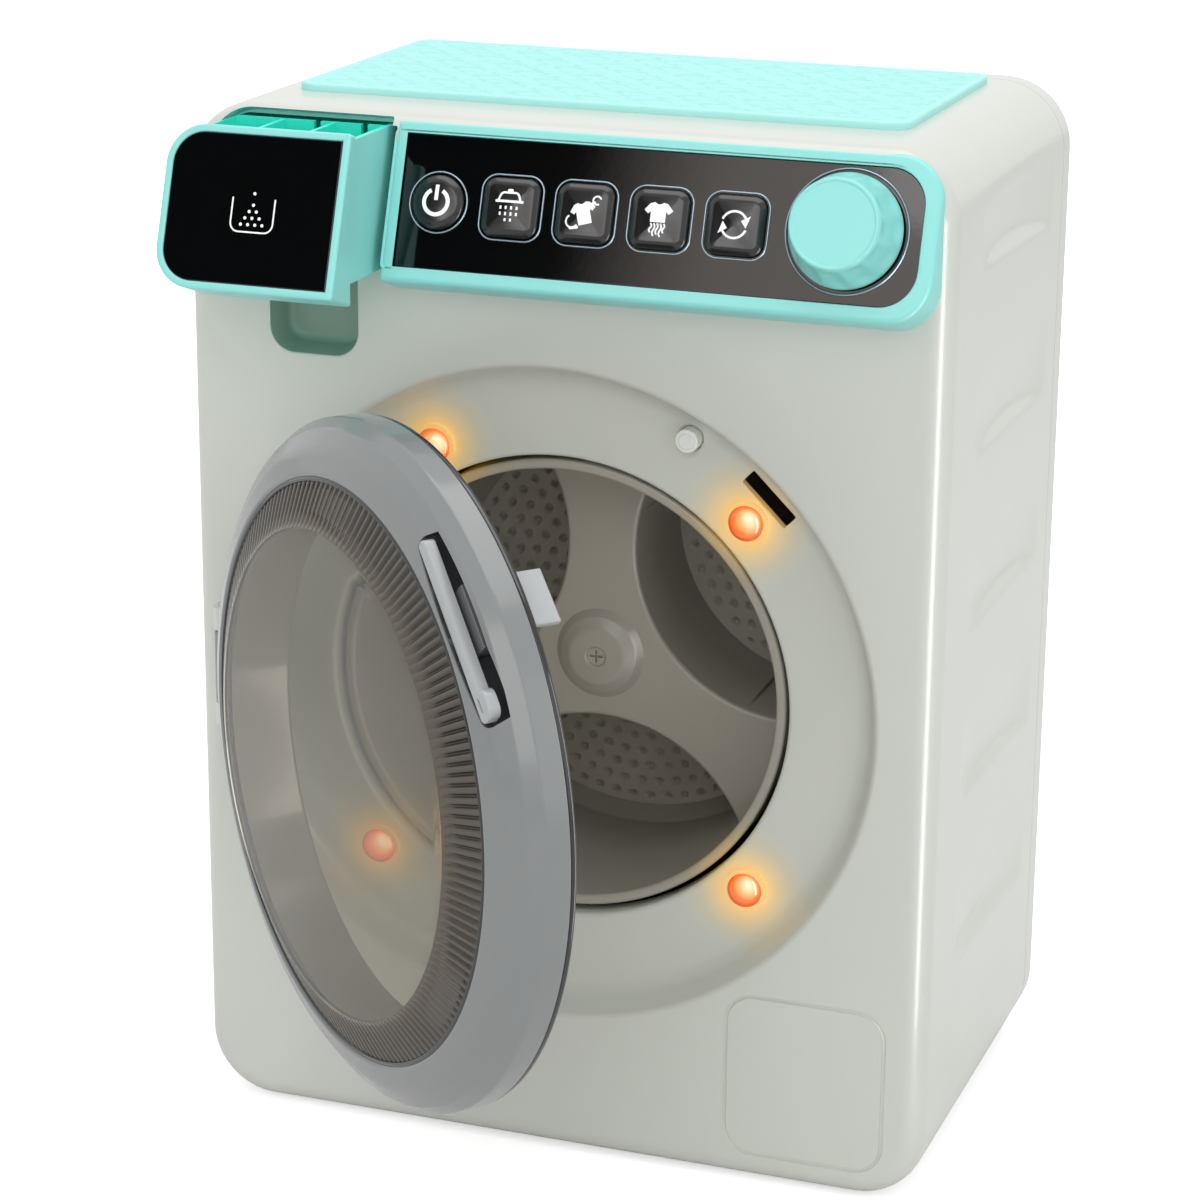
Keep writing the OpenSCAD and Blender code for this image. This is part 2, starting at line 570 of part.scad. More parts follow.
// the same for the bar and its well, which lie a little lower round the porthole
module handle_side() latch_frame() rotate([0, handle_turn, 0]) children();
module handle_window() handle_side() along_y(lip_y - 5, flange_y - 1.2)
  rr(well_r0, -handle_len / 2 - 1, well_r1, handle_len / 2 + 1, 3.6);
module handle_well(s) handle_side() along_y(lip_y - 5, flange_y - 3.2)
  rr(well_r0 - s, -handle_len / 2 - 1 - s, well_r1 + s, handle_len / 2 + 1 + s, 3.6);
module latch_handle() color(C_GREY) swung() {
  bar_y = lip_y + 1.5;
  handle_side() {
    difference() {
      along_y(bar_y, flange_y - 5) rr(bar_r, -handle_len / 2, bar_r + 3.6, handle_len / 2, 1.5);
      for (z = [8, -8 - handle_len]) translate([bar_r - 1, bar_y + 2.2, handle_off + z]) cube([6, 20, handle_len]);
    }
    // wider foot at the bar's lower end
    along_y(bar_y - 0.4, bar_y + 3) rr(bar_r + 0.6, -handle_len / 2 + 0.4, bar_r + 5.5, -handle_len / 2 + 7.2, 1.9);
    // block beside the bar that the flat springs press on
    translate([bar_r + 3.6 - e, lip_y + 4.6, handle_off - 10]) cube([1.9 + e, flange_y - 5 - lip_y - 4.6, 16]);
  }
  latch_frame() {
    translate([bar_r + 0.6, flange_y - 5 - e, -7]) cube([4.6, 1.5, 14]);
    translate([bar_r + 3.6, flange_y - 5, -7]) cube([1.6, 13.8, 14]);
  }
}
module latch_spring() color(C_STEEL) swung() handle_side()
  for (z = [-6, 3]) translate([bar_r + 5.5, lip_y + 8, handle_off + z]) cube([well_r1 - bar_r - 5.5, 0.4, 3]);
module door_window() color([0.35, 0.32, 0.30, 0.4]) swung() lathe() {
  t = 1.6;
  y1 = lip_y - pane_rise;
  polygon([[0, y1 - 1.2], [pane_r * 0.6, y1 - 0.8], [pane_r, y1], [lip_r - 0.1, lip_y + 1.2], [lip_r - 0.1, lip_y + 4.6],
    [lip_r - 2.2, lip_y + 4.6], [lip_r - 2.2, lip_y + 2.6], [pane_r - 0.2, y1 + t], [pane_r * 0.6, y1 - 0.8 + t],
    [0, y1 - 1.2 + t]]);
}
module door_liner() color([0.16, 0.15, 0.15, 0.8]) swung() difference() {
  lathe() polygon([[liner_r, lip_y + 1.5], [liner_r + 1.6, lip_y + 1.5], [liner_r + 1.6, flange_y - 2.4],
    [liner_r + 3, flange_y - 1], [flange_r, flange_y - 1], [flange_r, flange_y], [liner_r, flange_y]]);
  latch_frame() translate([bar_r + 3, flange_y - 3, -7.6]) cube([4.8, 5, 15.2]);
  for (a = tie_angles) at_angle(a, tie_at) disc_y(1.5, flange_y - 5, flange_y + 1);
}
// posts moulded under the ring's face take the liner's screws
module ring_posts() color(C_GREY) swung() for (a = tie_angles) at_angle(a, tie_at) difference() {
  disc_y(2.8, crest_y, flange_y - 1);
  disc_y(1.25, flange_y - 5, flange_y);
}
module liner_screws() color(C_STEEL) swung() for (a = tie_angles) at_angle(a, tie_at) {
  disc_y(1.25, flange_y - 4.5, flange_y);
  disc_y(2.6, flange_y, flange_y + 0.8);
}

// ---- drum and drive ----
module island(s) difference() {
  circle(drum_r - drum_wall - s + 0.2, $fn = 128);
  for (a = [30, 150, 270]) rotate(-a) translate([pocket_at, 0]) circle(pocket_r + s, $fn = 96);
}
module drum() color(C_DRUM) difference() {
  union() {
    difference() {
      disc_y(drum_r, drum_y0, drum_y1, port_x, port_z);
      disc_y(drum_r - drum_wall, drum_y0 + 3, drum_y1 - drum_wall, port_x, port_z);
      disc_y(drum_r - 3.5, drum_y0 - 1, drum_y0 + 4, port_x, port_z);
    }
    round_port() translate([0, arm_y, 0]) rotate([-90, 0, 0]) linear_extrude(arm_rise + e) island(0);
    translate([port_x, arm_y + e, port_z]) rotate([90, 0, 0]) cylinder(r1 = 12, r2 = 7, h = 4);
  }
  difference() {
    round_port() translate([0, arm_y + drum_wall, 0]) rotate([-90, 0, 0]) linear_extrude(arm_rise + 5) island(drum_wall);
    disc_y(7, arm_y, drum_y1, port_x, port_z);
  }
  disc_y(shaft_r, arm_y + 2, drum_y1 + 1, port_x, port_z);
  disc_y(1.5, arm_y - 8, arm_y + 4, port_x, port_z);
  disc_y(3.2, arm_y - 8, arm_y - 1.6, port_x, port_z);
  for (a = [30, 150, 270], r = [30, 38, 46], k = [-1:1]) round_port() rotate([0, a + k * 380 / r, 0])
    disc_y(1.4, drum_y1 - drum_wall - 1, drum_y1 + 1, r + 1, 0, $fn = 16);
}
module drum_hub_screw() color(C_STEEL) {
  difference() {
    disc_y(2.9, arm_y - 3.2, arm_y - 1.6, port_x, port_z);
    for (a = [0, 90]) translate([port_x, arm_y - 3.3, port_z]) rotate([0, a, 0]) translate([-1.7, 0, -0.3]) cube([3.4, 0.9, 0.6]);
  }
  disc_y(1.5, arm_y - 1.6 - e, arm_y + 8, port_x, port_z);
}
module drum_shaft() color(C_STEEL) difference() {
  disc_y(shaft_r, arm_y + 2, plate_y + 16, port_x, port_z);
  disc_y(1.5, arm_y, arm_y + 8, port_x, port_z);
}
function inv(b, t) = [b * (cos(t) + t * PI / 180 * sin(t)), b * (sin(t) - t * PI / 180 * cos(t))];
// spur gear outline of 20 degree involute teeth, thinned for backlash
module gear_outline(n, m, thin) {
  rp = m * n / 2;
  rb = rp * cos(20);
  ra = rp + m * 0.95;
  rd = rp - m * 1.25;
  tp = sqrt(pow(rp / rb, 2) - 1) * 180 / PI;
  ta = sqrt(pow(ra / rb, 2) - 1) * 180 / PI;
  off = 90 / n - thin / rp * 90 / PI + (tp - atan(tp * PI / 180));
  circle(rd, $fn = max(48, n * 2));
  for (k = [0:n - 1]) rotate(360 * k / n) {
    right = [for (i = [0:5]) let (p = inv(rb, ta * i / 5)) [p[0] * cos(off) + p[1] * sin(off), p[1] * cos(off) - p[0] * sin(off)]];
    left = [for (i = [5:-1:0]) [right[i][0], -right[i][1]]];
    polygon(concat([[rd * 0.94, -rb * sin(off) * 0.9]], right, left, [[rd * 0.94, rb * sin(off) * 0.9]]));
  }
}
module drum_gear() color([0.92, 0.92, 0.88]) difference() {
  translate([port_x, gear_y, port_z]) rotate([-90, 0, 0]) linear_extrude(gear_w) gear_outline(gear_teeth, gear_mod, 0.25);
  disc_y(shaft_r, gear_y - 1, gear_y + gear_w + 1, port_x, port_z);
}
module shaft_collar() color(C_STEEL) difference() {
  disc_y(5, plate_y + 12.6, plate_y + 15, port_x, port_z);
  disc_y(shaft_r, plate_y + 10, plate_y + 20, port_x, port_z);
}
module gear_plate() color([0.86, 0.87, 0.86]) difference() {
  along_y(plate_y, plate_y + 2.5) rr(port_x - plate_w, port_z - plate_lo, port_x + plate_w, port_z + plate_hi, 6);
  disc_y(4.5, plate_y - 1, plate_y + 4, port_x, port_z);
  disc_y(3.5, plate_y - 1, plate_y + 4, port_x, port_z + gear_dist);
  for (x = [7 - plate_w, plate_w - 7], z = [7 - plate_lo, plate_hi - 7]) disc_y(1.7, plate_y - 1, plate_y + 4, port_x + x, port_z + z);
  for (x = [-8, 8]) disc_y(1.25, plate_y - 1, plate_y + 4, port_x + x, port_z + gear_dist);
}
module plate_screws() color(C_STEEL) for (x = [7 - plate_w, plate_w - 7], z = [7 - plate_lo, plate_hi - 7]) {
  disc_y(2.8, plate_y - 1.8, plate_y, port_x + x, port_z + z);
  disc_y(1.25, plate_y - e, plate_y + 12, port_x + x, port_z + z);
}
module shaft_bush() color([0.80, 0.62, 0.30]) difference() {
  union() { disc_y(4.5, plate_y, plate_y + 12, port_x, port_z); disc_y(6.5, plate_y + 2.5, plate_y + 4.5, port_x, port_z); }
  disc_y(shaft_r + run_fit, plate_y - 1, plate_y + 4 * wall + 4, port_x, port_z);
}
module motor() color(C_STEEL) difference() {
  disc_y(motor_r, plate_y + 2.5, plate_y + 2.5 + motor_len, port_x, port_z + gear_dist);
  disc_y(1 + run_fit, plate_y, plate_y + 14, port_x, port_z + gear_dist);
  for (x = [-8, 8]) disc_y(1.25, plate_y, plate_y + 7, port_x + x, port_z + gear_dist);
}
module motor_pinion() color([0.95, 0.95, 0.92]) {
  translate([port_x, gear_y, port_z + gear_dist]) rotate([-90, 0, 0]) rotate([0, 0, 90 + 180 / pinion_teeth])
    linear_extrude(gear_w) gear_outline(pinion_teeth, gear_mod, 0.25);
  disc_y(1, gear_y, plate_y + 12, port_x, port_z + gear_dist);
}
module motor_screws() color(C_STEEL) for (x = [-8, 8]) {
  disc_y(2.2, plate_y - 1.2, plate_y, port_x + x, port_z + gear_dist);
  disc_y(1.25, plate_y - e, plate_y + 6, port_x + x, port_z + gear_dist);
}

// ---- power and sound ----
module battery_box() color([0.15, 0.15, 0.16]) difference() {
  translate([-box_half, box_y - 1.5, box_z0]) cube([2 * box_half, y_b - wall - box_y + 1.5, box_z1 - box_z0]);
  translate([-box_half + 1.5, box_y, box_z0 + 0.8]) cube([2 * box_half - 3, 60, box_z1 - box_z0 - 1.6]);
}
module cell(i) translate([0, box_y + cell_r + 0.4, box_z0 + 0.8 + cell_r + 0.2 + cell_pitch * i]) rotate([0, i % 2 * 180 + 90, 0])
  translate([0, 0, -cell_len / 2]) children();
module battery_cells() color([0.25, 0.45, 0.30]) for (i = [0:cells - 1]) cell(i) {
  cylinder(r = cell_r, h = cell_len - 1.5);
  cylinder(r = 2.7, h = cell_len);
}
module battery_contacts() color(C_STEEL) for (i = [0:cells - 1]) cell(i) {
  translate([-4, -5, cell_len + 2.4]) cube([8, 10, 0.4]);
  translate([0, 0, cell_len]) cylinder(r = 2, h = 2.4 + e);
  translate([-4, -5, -2.8]) cube([8, 10, 0.4]);
  translate([0, 0, -2.4 - e]) cylinder(r = 3, h = 2.4 + e);
}
module battery_door() color(C_BODY) difference() {
  union() {
    translate([-box_half - 0.8, y_b - wall + e, box_z0 - 0.8]) cube([2 * box_half + 1.6, wall - e, box_z1 - box_z0 + 1.6]);
  }
  translate([0, y_b - 1.4, box_z1 - 4]) rotate([-90, 0, 0]) cylinder(r = 2.8, h = 3);
  for (i = [0:5]) translate([-14, y_b - 0.5, box_z0 + 6 + 3 * i]) cube([28, 1, 1]);
}
module battery_screw() color(C_STEEL) disc_y(2.6, y_b - 1.4, y_b - 0.2, 0, box_z1 - 4);
module speaker() color([0.12, 0.12, 0.12]) {
  disc_y(15, y_b - wall - 4, y_b - wall, speaker_p[0], speaker_p[1]);
  disc_y(9, y_b - wall - 8, y_b - wall - 4 + e, speaker_p[0], speaker_p[1]);
}

cabinet();
rear_cover();
case_screws();
top_mat();
panel_bezel();
panel_fascia();
button_rims();
power_button();
shower_button();
shirt_button();
steam_button();
cycle_button();
button_springs();
knob();
knob_ring();
knob_clip();
control_board();
board_switches();
rotary_switch();
drawer_cassette();
drawer_tray();
drawer_front();
drawer_insert();
led_lenses();
led_boards();
door_sensor();
sensor_spring();
sensor_switch();
hinge_bracket();
hinge_pin();
door_ring();
door_window();
door_liner();
ring_posts();
liner_screws();
latch_handle();
latch_spring();
drum();
drum_hub_screw();
drum_shaft();
drum_gear();
shaft_collar();
gear_plate();
plate_screws();
shaft_bush();
motor();
motor_pinion();
motor_screws();
battery_box();
battery_cells();
battery_contacts();
battery_door();
battery_screw();
speaker();
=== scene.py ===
# %% [markdown]
# # A toy washing machine, dressed for the camera
# The solids come from the frame: every piece below is made in the same place as its solid and rides on the same
# body, so it still fits when the door swings or the drawer slides. Lengths are written in millimetres, as on a
# toolmaker's drawing, and become metres only when a mesh is made.

# %% Load the frame
import json
import bpy, bmesh
import numpy as np
from mathutils import Matrix, Vector
from mathutils.geometry import delaunay_2d_cdt


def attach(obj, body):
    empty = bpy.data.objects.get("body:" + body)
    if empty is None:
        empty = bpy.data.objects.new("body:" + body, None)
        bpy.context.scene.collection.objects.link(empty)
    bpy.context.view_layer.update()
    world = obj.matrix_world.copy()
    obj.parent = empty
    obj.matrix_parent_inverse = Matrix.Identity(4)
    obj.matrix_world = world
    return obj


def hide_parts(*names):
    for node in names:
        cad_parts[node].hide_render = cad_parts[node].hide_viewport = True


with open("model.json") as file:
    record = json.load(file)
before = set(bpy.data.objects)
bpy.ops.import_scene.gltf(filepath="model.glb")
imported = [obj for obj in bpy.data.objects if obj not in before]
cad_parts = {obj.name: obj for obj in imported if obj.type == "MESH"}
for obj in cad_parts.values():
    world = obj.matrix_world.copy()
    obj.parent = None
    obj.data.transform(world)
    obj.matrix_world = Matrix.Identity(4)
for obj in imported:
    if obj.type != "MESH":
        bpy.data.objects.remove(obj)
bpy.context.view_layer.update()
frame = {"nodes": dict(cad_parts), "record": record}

# %% [markdown]
# ## Sizes
# The main sizes of the part, in millimetres. The porthole has its own axis, the control panel its own tilted
# plane, and the door its own hinge, so most shapes are drawn flat in one of those three and placed afterwards.

# %% Sizes and the three places
# cabinet: outer size, wall, corner radius seen from the front, and how far its fillet's profile runs in
WIDTH, DEPTH, HEIGHT, WALL, CORNER, RUN_IN = 200.0, 125.0, 271.0, 2.5, 18.0, 12.5
FRONT, BACK, SEAM, CUT_Y = -DEPTH / 2, DEPTH / 2, 50.5, -40.0
# porthole's axis in x and z, floor and outer radius of its recess, and the lamps and the sensor in that floor
PORT, RECESS_Y, RECESS_R, LAMP_R = np.array([-2.0, 124.6]), -53.5, 88.9, 70.0
LAMPS = [PORT + LAMP_R * np.array([np.cos(a), np.sin(a)]) for a in np.radians([45, -43, -135, 119])]
SENSOR = np.array([32.5, 194.2])
# door ring: lip round the window, crest, side band and rear flange; hinge line in x and y
LIP_Y, LIP_R, CREST_Y, CREST_R, RING_R = -75.9, 71.2, -69.1, 82.4, 84.6
FLANGE_Y, FLANGE_R, HINGE = -58.1, 82.4, np.array([-90.0, -66.9])
OPEN, LATCH, HANDLE_TURN = np.radians([40.1, 45.5, 2.7])
# drum: mouth, back, flat of the arms, floor of the pockets
DRUM_Y0, DRUM_Y1, ARM_Y, FLOOR_Y = -51.0, 15.0, -22.0, 13.0
# panel: lower edge, tilt and height; row of keys, knob; how far the drawer stands out
PANEL_Y, PANEL_Z, PANEL_V, TILT = -74.1, 231.9, 40.4, np.radians(19.1)
KEYS, ROW_V = -29.0 + 19.1 * np.arange(5), 20.5
KNOB, DRAWER_OUT = (74.7, 21.1), 25.0


def on_panel(p):
    """(x, up the slope, outward) to (x, y, z): the panel leans back by its tilt from its lower edge."""
    x, v, n = p[..., 0], p[..., 1], p[..., 2]
    c, s = np.cos(TILT), np.sin(TILT)
    return np.stack([x, PANEL_Y + v * s - n * c, PANEL_Z + v * c + n * s], -1)


def on_drawer(p):
    """The panel's place, pulled out with the drawer."""
    return on_panel(p) - [0, DRAWER_OUT, 0]


def on_front(p):
    """(x, z, depth) to (x, y, z)."""
    return np.stack([p[..., 0], p[..., 2], p[..., 1]], -1)


def on_door(p):
    """The shut door turned open: a rotation by the opening angle about the upright hinge line."""
    x, y = p[..., 0] - HINGE[0], p[..., 1] - HINGE[1]
    c, s = np.cos(-OPEN), np.sin(-OPEN)
    return np.stack([HINGE[0] + c * x - s * y, HINGE[1] + s * x + c * y, p[..., 2]], -1)


def opened(patches):
    """Patches drawn on the shut door, moved to where the open door has them."""
    return [moved(q, on_door) for q in patches]


def at_latch(p, angle=LATCH):
    """(outward, along the handle, y) round the porthole at the latch's angle."""
    a, b, y = p[..., 0], p[..., 1], p[..., 2]
    c, s = np.cos(angle), np.sin(angle)
    return np.stack([PORT[0] + a * c - b * s, y, PORT[1] + a * s + b * c], -1)


def at_handle(p):
    """The same for the bar and its well, which lie a little lower round the porthole."""
    return at_latch(p, LATCH - HANDLE_TURN)


# %% [markdown]
# ## Drawing tools
# Moulded plastic has no sharp edges: a mould is milled with a round cutter. So the tool used most takes a profile
# and turns each corner into a small arc. A bevel modifier could do that later, but an arc in the profile gives an
# even edge and costs nothing where a shape is turned or carried along an outline.

# %% Profiles and outlines
def soften(points, radii, steps=5, hold=0.25):
    """A polyline whose inner corners become arcs tangent to both sides, with a support point beside each arc."""
    P = np.array(points, float)
    out = [P[0]]
    for a, b, c, r in zip(P[:-2], P[1:-1], P[2:], radii):
        la, lc = np.linalg.norm(a - b), np.linalg.norm(c - b)
        u, w = (a - b) / la, (c - b) / lc
        half = np.arccos(np.clip(u @ w, -1, 1)) / 2
        reach = min(r / np.tan(half), 0.45 * la, 0.45 * lc) if half < 1.55 else 0
        if reach < 1e-3:
            out.append(b)
            continue
        r = reach * np.tan(half)
        centre = b + (u + w) / np.linalg.norm(u + w) * r / np.sin(half)
        e0, e1 = b + u * reach - centre, b + w * reach - centre
        turn = np.arctan2(e0[0] * e1[1] - e0[1] * e1[0], e0 @ e1)
        t = np.linspace(0, turn, steps + 1)
        arc = np.stack([e0[0] * np.cos(t) - e0[1] * np.sin(t), e0[0] * np.sin(t) + e0[1] * np.cos(t)], -1) + centre
        if la - reach > 3 * hold:
            out.append(b + u * (reach + hold))
        out.extend(arc)
        if lc - reach > 3 * hold:
            out.append(b + w * (reach + hold))
    out.append(P[-1])
    return np.array(out)


def rounded(x0, y0, x1, y1, r, inset=0.0, steps=8, side=1):
    """Closed outline of a rounded rectangle, shrunk by inset; r is one radius or four from the lower left on."""
    r = np.maximum(np.broadcast_to(np.array(r, float), 4) - inset, 0.06)
    x0, y0, x1, y1 = x0 + inset, y0 + inset, x1 - inset, y1 - inset
    t = np.linspace(0, np.pi / 2, steps + 1)
    corners = [(x0 + r[0], y0 + r[0], np.pi, r[0]), (x1 - r[1], y0 + r[1], 1.5 * np.pi, r[1]),
               (x1 - r[2], y1 - r[2], 0, r[2]), (x0 + r[3], y1 - r[3], np.pi / 2, r[3])]
    arcs = [np.stack([cx + k * np.cos(a + t), cy + k * np.sin(a + t)], -1) for cx, cy, a, k in corners]
    loop = np.concatenate(arcs)
    if side > 1:
        parts = []
        for i, arc in enumerate(arcs):
            nxt = arcs[(i + 1) % 4][0]
            f = np.linspace(0, 1, side + 1)[1:-1, None]
            parts += [arc, arc[-1] + (nxt - arc[-1]) * f] if i % 2 else [arc]
        loop = np.concatenate(parts)
    return loop


def ring(r, centre=(0, 0), steps=96):
    """Closed circle."""
    t = np.linspace(0, 2 * np.pi, steps, endpoint=False)
    return np.stack([centre[0] + r * np.cos(t), centre[1] + r * np.sin(t)], -1)


# %% Surfaces
MERGE = 2e-6    # metres


def skin(P, wrap=True):
    """Four-sided faces between successive rows of points; wrap joins each row's end to its start."""
    n, m, _ = P.shape
    i, j = np.meshgrid(np.arange(n - 1), np.arange(m if wrap else m - 1), indexing="ij")
    a, b = i * m + j, i * m + (j + 1) % m
    return P.reshape(-1, 3), np.stack([a, b, b + m, a + m], -1).reshape(-1, 4).tolist()


def carried(outline, profile, place=on_front):
    """A profile of (inset, height) carried round an outline: one loop per profile point."""
    return skin(place(np.stack([np.column_stack([outline(s), np.full(len(outline(s)), h)]) for s, h in profile])))


def inside(p, loop):
    """True for each point that a ray to the right leaves the loop an odd number of times."""
    a, b = loop, np.roll(loop, -1, 0)
    y = p[:, 1:]
    hit = (a[:, 1] > y) != (b[:, 1] > y)
    with np.errstate(divide="ignore", invalid="ignore"):
        x = a[:, 0] + (y - a[:, 1]) / (b[:, 1] - a[:, 1]) * (b[:, 0] - a[:, 0])
    return (hit & (p[:, :1] < x)).sum(1) % 2 == 1


def flat(loops, height, place=on_front, grid=0.0):
    """The plane area inside the first loop and outside the others, cut into triangles that keep every loop point;
    a grid step adds points in between, for areas that are bent afterwards."""
    pts, edges, at = [], [], 0
    for loop in loops:
        k = len(loop)
        pts.append(loop)
        edges += [(at + i, at + (i + 1) % k) for i in range(k)]
        at += k
    if grid:
        low, high = loops[0].min(0), loops[0].max(0)
        gx, gy = np.meshgrid(np.arange(low[0] + grid, high[0], grid), np.arange(low[1] + grid, high[1], grid))
        extra = np.column_stack([gx.ravel(), gy.ravel()])
        apart = np.linalg.norm(extra[:, None] - loops[0][None], axis=2).min(1) > 0.3 * grid
        pts.append(extra[inside(extra, loops[0]) & apart])
    v, _, f, *_ = delaunay_2d_cdt([Vector(p) for p in np.concatenate(pts)], edges, [], 0, 1e-5)
    v = np.array([tuple(p) for p in v])
    f = np.array([list(t) for t in f])
    mid = v[f].mean(1)
    keep = inside(mid, loops[0])
    for loop in loops[1:]:
        keep &= ~inside(mid, loop)
    return place(np.column_stack([v, np.full(len(v), height)])), f[keep].tolist()


def turned(profile, steps=256, centre=PORT):
    """A profile of (radius, y) turned about the porthole's axis, or about another one parallel to it."""
    P = np.array(profile, float)
    t = np.linspace(0, 2 * np.pi, steps, endpoint=False)
    r, y = P[:, :1], np.repeat(P[:, 1:], steps, 1)
    return skin(np.stack([centre[0] + r * np.cos(t), y, centre[1] + r * np.sin(t)], -1))


def capped(profile, steps, centre=PORT):
    """A turned profile with a disc at each end."""
    discs = [flat([ring(r, centre, steps)], y) for r, y in (profile[0], profile[-1])]
    return [turned(profile, steps, centre)] + discs


def plug(outline, rows, place=on_front):
    """A closed prism: rows of (inset, height) carried round an outline, with both ends filled."""
    return [carried(outline, rows, place)] + [flat([outline(s)], h, place) for s, h in (rows[0], rows[-1])]


def moved(patch, place):
    return place(patch[0]), patch[1]


def mesh_of(name, patches):
    """One mesh from several patches: their points are joined where they meet, and faces are turned outwards."""
    verts, faces, at = [], [], 0
    for v, f in patches:
        verts.append(v)
        faces += [[k + at for k in face] for face in f]
        at += len(v)
    me = bpy.data.meshes.new(name)
    me.from_pydata((np.concatenate(verts) * 0.001).tolist(), [], faces)
    bm = bmesh.new()
    bm.from_mesh(me)
    bmesh.ops.remove_doubles(bm, verts=bm.verts, dist=MERGE)
    bmesh.ops.dissolve_degenerate(bm, dist=MERGE / 20, edges=bm.edges)
    bmesh.ops.recalc_face_normals(bm, faces=bm.faces)
    bm.to_mesh(me)
    bm.free()
    return me


def placed(name, data):
    """A new object in the scene."""
    ob = bpy.data.objects.new(name, data)
    bpy.context.scene.collection.objects.link(ob)
    return ob


def piece(name, body, material, patches, stands_for=(), sharp=34, cuts=()):
    """A finished piece: mesh, optional boolean cuts, shading, material, body and the solids that it stands for."""
    me = mesh_of(name, patches)
    if cuts:
        me = carve(name, me, cuts)
    me.polygons.foreach_set("use_smooth", np.ones(len(me.polygons), bool))
    me.set_sharp_from_angle(angle=np.radians(sharp))
    me.update()
    me.materials.clear()
    me.materials.append(material)
    ob = placed(name, me)
    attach(ob, body)
    if stands_for:
        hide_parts(*stands_for)
    print(f"{name}: {len(me.polygons)} faces")
    return ob


def carve(name, me, cuts=(), adds=()):
    """Adds and then cuts closed shapes with exact booleans and returns the resulting mesh."""
    ob = placed(name + "_blank", me)
    helpers = []
    for kind, shapes in (("UNION", adds), ("DIFFERENCE", cuts)):
        for k, patches in enumerate(shapes):
            tool = placed(f"{name}_{kind}_{k}", mesh_of(f"{name}_{kind}_{k}", patches))
            m = ob.modifiers.new(f"{kind}{k}", "BOOLEAN")
            m.operation, m.solver, m.object = kind, "EXACT", tool
            helpers.append(tool)
    done = bpy.data.meshes.new_from_object(ob.evaluated_get(bpy.context.evaluated_depsgraph_get()))
    for o in [ob, *helpers]:
        bpy.data.objects.remove(o)
    return done


def numbers(items, what):
    """A vector of every point or face of a mesh, in millimetres."""
    v = np.empty(len(items) * 3)
    items.foreach_get(what, v)
    return v.reshape(-1, 3) * 1000


def patch_of(me):
    """A mesh's points and faces, to join it with other patches."""
    return numbers(me.vertices, "co"), [list(p.vertices) for p in me.polygons]


def even_normals(ob):
    """Wide flats keep their own normals next to narrow fillets."""
    m = ob.modifiers.new("even_normals", "WEIGHTED_NORMAL")
    m.keep_sharp, m.weight = True, 100
    return ob


# %% [markdown]
# ## Plastic, from one group
# Every moulded part shares the same small faults: a slightly uneven colour, a haze where it was handled, and a
# very fine ripple from the mould that breaks up reflections. They are one node group with its own amounts in each
# material. The group puts out only colour, roughness and a height; the shader itself stays in the material.

# %% The moulding group
def new_group(name, inputs, outputs):
    g = bpy.data.node_groups.new(name, "ShaderNodeTree")
    for n, kind, value in inputs:
        s = g.interface.new_socket(n, in_out="INPUT", socket_type=kind)
        s.default_value = value
    for n, kind in outputs:
        g.interface.new_socket(n, in_out="OUTPUT", socket_type=kind)
    return g, g.nodes.new("NodeGroupInput"), g.nodes.new("NodeGroupOutput")


def node(tree, kind, **settings):
    """A node with its settings; a key that starts with in_ fills the input of that number."""
    n = tree.nodes.new("ShaderNode" + kind)
    for k, v in settings.items():
        if k.startswith("in_"):
            n.inputs[int(k[3:])].default_value = v
        else:
            setattr(n, k, v)
    return n


def maths(tree, op, a, b, clamp=False):
    n = node(tree, "Math", operation=op, use_clamp=clamp)
    for i, v in enumerate((a, b)):
        if isinstance(v, (int, float)):
            n.inputs[i].default_value = v
        else:
            tree.links.new(v, n.inputs[i])
    return n.outputs[0]


def hexed(code):
    """A screen colour such as cfd3c9 as linear RGBA."""
    c = np.array([int(code[i:i + 2], 16) for i in (0, 2, 4)]) / 255
    return (*np.where(c <= 0.04045, c / 12.92, ((c + 0.055) / 1.055) ** 2.4).tolist(), 1.0)


def grey(level):
    """A linear grey as RGBA."""
    return level, level, level, 1.0


def place_of(tree):
    return node(tree, "TexCoord").outputs["Object"]


def axis_of(tree, axis, low, high):
    """Where a point lies along one object axis, as 0 to 1 between two places."""
    split = node(tree, "SeparateXYZ")
    tree.links.new(place_of(tree), split.inputs[0])
    along = node(tree, "MapRange", in_1=low, in_2=high)
    tree.links.new(split.outputs[axis], along.inputs[0])
    return along.outputs[0]


def ramp(tree, value, stops):
    """A colour ramp over a value, from stops of (place, colour)."""
    n = node(tree, "ValToRGB")
    points = n.color_ramp.elements
    for i in (0, -1):
        points[i].position, points[i].color = stops[i]
    for at, colour in stops[1:-1]:
        points.new(at).color = colour
    tree.links.new(value, n.inputs[0])
    return n.outputs[0]


g, gi, go = new_group(
    "moulding",
    [("Colour", "NodeSocketColor", (0.8, 0.8, 0.8, 1)), ("Shade", "NodeSocketColor", (0.7, 0.7, 0.7, 1)),
     ("Roughness", "NodeSocketFloat", 0.3), ("Haze", "NodeSocketFloat", 0.06), ("Grain", "NodeSocketFloat", 600.0)],
    [("Colour", "NodeSocketColor"), ("Roughness", "NodeSocketFloat"), ("Height", "NodeSocketFloat")])
MOULDING = g
co = place_of(g)
flow = node(g, "TexNoise", in_2=9.0, in_3=3.0, in_4=0.55)
g.links.new(co, flow.inputs["Vector"])
mixer = node(g, "Mix", data_type="RGBA")
amount = maths(g, "MULTIPLY", maths(g, "SUBTRACT", flow.outputs[0], 0.35), 0.9, True)
g.links.new(amount, mixer.inputs[0])
g.links.new(gi.outputs["Colour"], mixer.inputs[6])
g.links.new(gi.outputs["Shade"], mixer.inputs[7])
